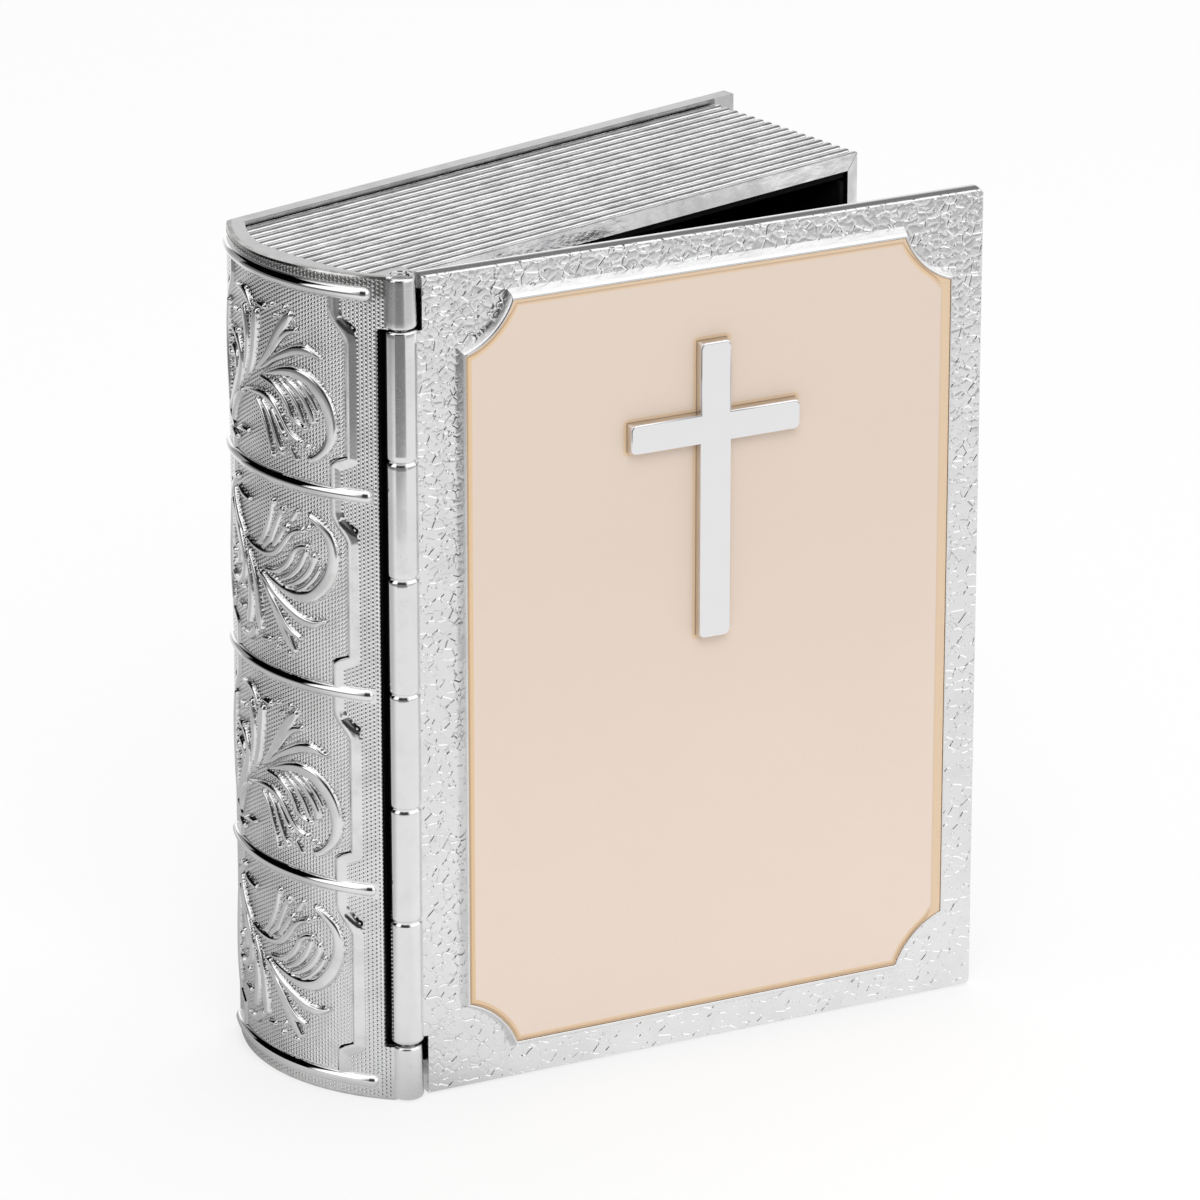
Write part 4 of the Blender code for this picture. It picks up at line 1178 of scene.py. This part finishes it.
def notched(grow, steps=20):
    """The panel's outline, with shallow hollow corners, moved outwards by a distance."""
    radius = NOTCH_RADIUS - grow
    swing_in = math.asin((NOTCH_OFFSET - grow) / radius)
    centre = (PANEL_HALF_WIDTH + NOTCH_OFFSET, PANEL_HALF_HEIGHT + NOTCH_OFFSET)
    points = []
    for sign_x, sign_z in ((1, 1), (-1, 1), (-1, -1), (1, -1)):
        corner = arc(centre, radius, 1.5 * math.pi - swing_in, math.pi + swing_in, steps)
        if sign_x * sign_z < 0:
            corner.reverse()
        points += [(PANEL_X + sign_x * x, PANEL_Z + sign_z * z) for x, z in corner]
    spread = 1 + (SIDE_SPREAD - 0.5 * max(grow, 0.0)) / (PANEL_HALF_WIDTH + grow)
    return [(PANEL_X + (x - PANEL_X) * spread, z) for x, z in points]


def inside_panel(x, z, grow):
    """Whether a place on the cover lies inside the panel's outline, moved outwards by a distance."""
    across, up = np.abs(x - PANEL_X), np.abs(z - PANEL_Z)
    corner = np.hypot(across - PANEL_HALF_WIDTH - NOTCH_OFFSET, up - PANEL_HALF_HEIGHT - NOTCH_OFFSET)
    within = (across < PANEL_HALF_WIDTH + grow) & (up < PANEL_HALF_HEIGHT + grow)
    return within & (corner > NOTCH_RADIUS - grow)


def pebbled(x, z):
    """How deep the pebbled grain sinks: flat cells, each a little tilted, with broken creases between."""
    rng = np.random.default_rng(11)
    pitch_x, pitch_z = PEBBLE_WIDTH, PEBBLE_HEIGHT
    columns, rows = int(54 / pitch_x) + 4, int(72 / pitch_z) + 4
    seed_x = (np.arange(columns)[:, None] - 1 + rng.uniform(0.02, 0.98, (columns, rows))) * pitch_x
    seed_z = (np.arange(rows)[None, :] - 1 + rng.uniform(0.02, 0.98, (columns, rows))) * pitch_z
    traits = [seed_x, seed_z, rng.uniform(0, 0.006, (columns, rows)), rng.normal(0, 0.007, (columns, rows)),
              rng.normal(0, 0.009, (columns, rows)), rng.uniform(0, 1, (columns, rows))]
    i = (x / pitch_x).astype(int) + 1
    j = (z / pitch_z).astype(int) + 1
    first = np.full(x.shape, 1e9)
    near = np.zeros((6,) + x.shape)
    seeds = []
    for di in (-2, -1, 0, 1, 2):
        for dj in (-2, -1, 0, 1, 2):
            a, b = np.clip(i + di, 0, columns - 1), np.clip(j + dj, 0, rows - 1)
            here = [trait[a, b] for trait in traits]
            away = np.hypot(x - here[0], z - here[1])
            seeds.append((away, here[0], here[1], here[5]))
            closer = away < first
            first = np.where(closer, away, first)
            for row, value in enumerate(here):
                near[row] = np.where(closer, value, near[row])
    edge = np.full(x.shape, 1e9)
    other = np.zeros(x.shape)
    for away, sx, sz, mark in seeds:
        apart = np.hypot(sx - near[0], sz - near[1])
        to_edge = np.where(apart > 1e-6, (away ** 2 - first ** 2) / (2 * np.maximum(apart, 1e-6)), 1e9)
        other = np.where(to_edge < edge, mark, other)
        edge = np.minimum(edge, to_edge)
    crease = 0.2 + 0.8 * np.clip(2.2 * ((near[5] + other) % 1.0) - 0.7, 0, 1)
    tilt = near[3] * (x - near[0]) + near[4] * (z - near[1])
    return np.clip(near[2] - tilt, 0, 0.05) + GRAIN_DEPTH * crease * smooth_step(0.11, 0.0, edge)


def make_cover_skin():
    """The cover's pebbled border as a thin slab with an opening under the panel."""
    left, right, low, high = BORDER_LEFT, COVER_RIGHT, COVER_LOW, COVER_HIGH - COVER_DRAFT
    wide, tall = right - left, high - low
    shape = bmesh.new()
    bmesh.ops.create_grid(shape, x_segments=round(wide / GRAIN_GRID), y_segments=round(tall / GRAIN_GRID),
                          size=0.5)
    bmesh.ops.transform(shape, verts=shape.verts, matrix=Matrix.Translation(
        ((left + right) / 2, COVER_FACE, (low + high) / 2))
        @ Matrix.Rotation(math.pi / 2, 4, "X") @ Matrix.Diagonal((wide, tall, 1, 1)))
    shape.faces.ensure_lookup_table()
    middles = np.array([face.calc_center_median() for face in shape.faces])
    x, z = middles[:, 0], middles[:, 2]
    beyond_leaf = (z < BARREL[0] + HINGE_LEAF_INSET) | (z > BARREL[1] - HINGE_LEAF_INSET)
    knuckle_room = (x < COVER_LEFT) & beyond_leaf
    gone = inside_panel(x, z, 0.2) | knuckle_room
    bmesh.ops.delete(shape, geom=[face for face, out in zip(shape.faces, gone) if out], context="FACES")
    rim = [edge for edge in shape.edges if edge.is_boundary]
    shape.verts.ensure_lookup_table()
    places = np.array([v.co for v in shape.verts])
    x, z = places[:, 0], places[:, 2]
    inset = np.minimum(np.minimum(right - x, x - left), np.minimum(high - z, z - low))
    sunk = pebbled(x, z) * smooth_step(0.5, 1.0, inset / COVER_CHAMFER) + np.clip(COVER_CHAMFER - inset, 0, 1)
    past_x = x - (right - COVER_CORNER)
    past_z = np.abs(z - (low + high) / 2) - (tall / 2 - COVER_CORNER)
    square = np.maximum(past_x, past_z)
    pull = np.where((past_x > 0) & (past_z > 0), square / np.maximum(np.hypot(past_x, past_z), 1e-6), 1.0)
    shift_x, shift_z = past_x * (pull - 1), np.sign(z - (low + high) / 2) * past_z * (pull - 1)
    for v, deep, dx, dz in zip(shape.verts, sunk, shift_x, shift_z):
        v.co += Vector((dx, deep, dz))
    back = verts_of(bmesh.ops.extrude_edge_only(shape, edges=rim))
    for v in back:
        v.co.y = COVER_FACE + COVER_SKIN
    base = [edge for edge in shape.edges if edge.is_boundary]
    bmesh.ops.triangle_fill(shape, use_beauty=False, use_dissolve=False, edges=base, normal=(0, 1, 0))
    face_outwards(shape)
    swing(shape)
    file_piece("cover_pebbled_border", as_mesh(shape, "cover_pebbled_border"), GRAINED_SILVER, "cover",
               smooth=26.0, level=False)


def make_cover_plate():
    """The plate behind the border's skin: rounded over at its upper edge, and run into the barrel."""
    low, high = BARREL[0] + HINGE_LEAF_INSET, BARREL[1] - HINGE_LEAF_INSET
    front = COVER_FACE + COVER_SKIN
    # Each outline of the plate: how deep it lies, and how far it is drawn in there
    stages = [(front, 0), (-0.15, 0), (0.0, 0), (0.12, 0), (0.3, 0), (0.42, 0.012), (0.58, 0.036),
              (0.71, 0.062), (0.79, 0.1), (0.835, 0.14), (COVER_BACK, 0.2)]
    right = COVER_RIGHT - COVER_CORNER
    rings = []
    for y, inset in stages:
        fall = COVER_DRAFT * max(0.0, (0.14 - y) / (0.14 - front)) ** 1.3 + inset
        corner = COVER_CORNER - inset
        lower = arc((right, COVER_LOW + COVER_CORNER), corner, -math.pi / 2, 0, 6)
        upper = arc((right, COVER_HIGH - COVER_CORNER - fall + inset), corner, 0, math.pi / 2, 6)
        outline = [(COVER_LEFT, COVER_LOW + inset), *lower, *upper, (COVER_LEFT, COVER_HIGH - fall),
                   (COVER_LEFT, high), (HINGE_LEAF_LEFT, high), (HINGE_LEAF_LEFT, low), (COVER_LEFT, low)]
        rings.append(at_depth(outline, y))
    shape = bmesh.new()
    made = loft(shape, rings)
    shape.faces.new(made[0])
    shape.faces.new(made[-1])
    face_outwards(shape)
    cover_piece("cover_plate", shape, BRIGHT, replaces=("front_cover",), smooth=40.0)


def make_moulding():
    """The raised moulding: a rounded section, steep at its foot, taken round the notched outline."""
    base, face = COVER_FACE, MOULDING_FACE
    # Each outline of the moulding: how far out from the panel, and how deep
    stages = [(0.0, base + 0.3), (0.0, face + 0.05), (0.02, face + 0.015), (0.05, face), (0.13, face),
              (0.18, face + 0.01), (0.25, face + 0.045), (0.32, face + 0.105), (0.38, face + 0.19),
              (0.44, face + 0.31), (0.49, face + 0.43), (0.7, face + 0.9), (0.7, base + 0.3)]
    shape = bmesh.new()
    loft(shape, [at_depth(notched(grow), depth) for grow, depth in stages], round_again=True)
    face_outwards(shape)
    cover_piece("panel_moulding", shape, KNUCKLE_SILVER, smooth=38.0)


def cross_outline(grow, turn=CROSS_ROUND):
    """The cross's outline with rounded outer corners, moved outwards by a distance."""
    bar, arm_bar, arm = CROSS_BAR / 2 + grow, CROSS_ARM_BAR / 2 + grow, CROSS_SPAN / 2 + grow
    foot, level, top = CROSS_TOP - CROSS_HEIGHT - grow, CROSS_TOP - CROSS_DROP, CROSS_TOP + grow
    turn += grow
    half = [(PANEL_X, foot)]
    # Each corner: how far out, how high, and where its rounding starts; the inner corners are sharp
    for x, z, start in ((bar, foot, -90), (bar, level - arm_bar, None), (arm, level - arm_bar, -90),
                        (arm, level + arm_bar, 0), (bar, level + arm_bar, None), (bar, top, 0)):
        if start is None:
            half.append((PANEL_X + x, z))
        else:
            centre = (PANEL_X + x - turn, z + (turn if start else -turn))
            half += arc(centre, turn, math.radians(start), math.radians(start + 90), 6)
    return half + [(2 * PANEL_X - x, z) for x, z in reversed(half[1:])]


RIM_BLEND = 0.12


def rim_marks(x, z, inset):
    """How golden and how brown the enamel is at an inset from its rim: the golden band is an edge tint with
    painted reflection, the brown line is painted shadow, and both differ from side to side as the light
    falls.
    """
    half = PANEL_HALF_WIDTH + SIDE_SPREAD
    side = min(1.0, max(0.0, (abs(x - PANEL_X) + inset - half + 4.6) / 4.4))
    notch = 1 - abs(2 * side - 1) ** 3
    upright = (0.5, 1.0, 0.1, 0.95) if x < PANEL_X else (0.88, 0.72, 0.84, 0.2)
    level = (0.6, 0.42, 0.56, 0.3) if z > PANEL_Z else (0.42, 0.8, 0.14, 0.4)
    reach, gold, line, brown = ((u * side + v * (1 - side)) * (1 - notch) + w * notch
                                for u, v, w in zip(upright, level, (0.5, 0.9, 0.17, 1.0)))
    golden = gold * min(1.0, max(0.0, (reach - inset) / RIM_BLEND + 0.5))
    return golden, brown * max(0.0, 1 - abs(inset - line) / RIM_BLEND)


def make_enamel():
    """The enamel round the cross, with narrow rings at its edges that carry the brown painted shadow and the
    golden tint and painted reflection of its rims.
    """
    shape = bmesh.new()
    rim = [(ENAMEL_GAP, ENAMEL_FOOT), (ENAMEL_GAP, ENAMEL_FACE + 0.03)]
    rim += [(inset, ENAMEL_FACE) for inset in ENAMEL_RINGS]
    outer = loft(shape, [at_depth(notched(-inset), depth) for inset, depth in rim])
    # Each ring round the cross: how far from it, how deep, how golden (painted reflection) and how brown
    # (painted shadow)
    seat = [(0.01, ENAMEL_FOOT, 0.7, 0.3), (0.01, ENAMEL_FACE + 0.02, 0.7, 0.2),
            (0.06, ENAMEL_FACE, 0.9, 0.05), (0.14, ENAMEL_FACE, 0.9, 0.0),
            (0.2, ENAMEL_FACE, 0.9, 0.0), (0.27, ENAMEL_FACE, 0.4, 0.2),
            (0.35, ENAMEL_FACE, 0.2, 0.0), (0.7, ENAMEL_FACE, 0.0, 0.0)]
    inner = loft(shape, [at_depth(cross_outline(grow, CROSS_FOOT_ROUND), depth) for grow, depth, *_ in seat])
    for one, two in ((outer[-1], inner[-1]), (outer[0], inner[0])):
        bmesh.ops.triangle_fill(shape, use_beauty=True, use_dissolve=False, normal=(0, -1, 0),
                                edges=edges_round(shape, one) + edges_round(shape, two))
    golden = shape.verts.layers.float.new("edge_tint_and_glint")
    browned = shape.verts.layers.float.new("edge_shadow_brown")
    shape.verts.ensure_lookup_table()
    insets = [inset for inset, _ in rim for _ in outer[0]]
    seats = [marks for _, _, *marks in seat for _ in inner[0]]
    for v, inset in zip(shape.verts, insets):
        v[golden], v[browned] = rim_marks(v.co.x, v.co.z, inset)
    for v, marks in zip(shape.verts[len(insets):], seats):
        v[golden], v[browned] = marks
    face_outwards(shape)
    cover_piece("enamel_fill", shape, ENAMEL, ("enamel_panel",), smooth=40.0)


def make_cross():
    """The cross: square at its foot, rounded at its face, with a softened edge and walls darkened by painted
    shade.
    """
    face = ENAMEL_FACE - CROSS_PROUD
    shape = bmesh.new()
    # Each outline of the cross: how far out, how deep, and how round its corners are
    stages = [(0.0, ENAMEL_FACE + 0.5, CROSS_FOOT_ROUND), (0.0, ENAMEL_FACE - 0.2, CROSS_FOOT_ROUND),
              (0.0, face + 0.075, CROSS_ROUND), (-0.02, face + 0.036, CROSS_ROUND),
              (-0.05, face + 0.014, CROSS_ROUND), (-0.16, face, CROSS_ROUND)]
    rings = loft(shape, [at_depth(cross_outline(grow, turn), depth) for grow, depth, turn in stages])
    shape.faces.new(rings[0])
    shape.faces.new(rings[-1])
    face_outwards(shape)
    painted_dark_face = shape.faces.layers.float.new("painted_dark_face")
    shape.normal_update()
    # Painted shade: the cross's walls are marked to be painted darker
    for wall in shape.faces:
        wall[painted_dark_face] = 1.0 if abs(wall.normal.y) < 0.3 else 0.0
    cover_piece("polished_cross", shape, POLISHED, ("cross",), smooth=50.0)


def make_barrel():
    """The long hinge barrel, with its five ring lines and a bore for a pin at each end."""
    low, high = BARREL
    top_round, foot_round = 0.2, 0.33
    profile = [(0, high - BORE_DEPTH), (BORE, high - BORE_DEPTH), (BORE, high - 0.05), (BORE + 0.05, high)]
    profile += arc((BARREL_RADIUS - top_round, high - top_round), top_round, math.pi / 2, 0, 4)
    profile.append((BARREL_RADIUS, high - 0.5))
    for z in RING_HEIGHTS:
        profile += [(BARREL_RADIUS - sunk, z + up) for up, sunk in RING_SECTION]
    profile.append((BARREL_RADIUS, low + 0.6))
    profile += arc((BARREL_RADIUS - foot_round, low + foot_round), foot_round, 0, -math.pi / 2, 5)
    profile += [(BORE, low), (BORE, low + BORE_DEPTH), (0, low + BORE_DEPTH)]
    cover_piece("hinge_barrel", turned(profile), BRIGHT, smooth=25.0)


make_camera()
make_studio()
make_case_core()
for panel in range(4):
    make_spine_panel(panel)
for band in range(5):
    make_band(band)
make_hinge_ends()
make_page_strips()
dress_linings()
make_cover_skin()
make_cover_plate()
make_barrel()
make_moulding()
make_enamel()
make_cross()
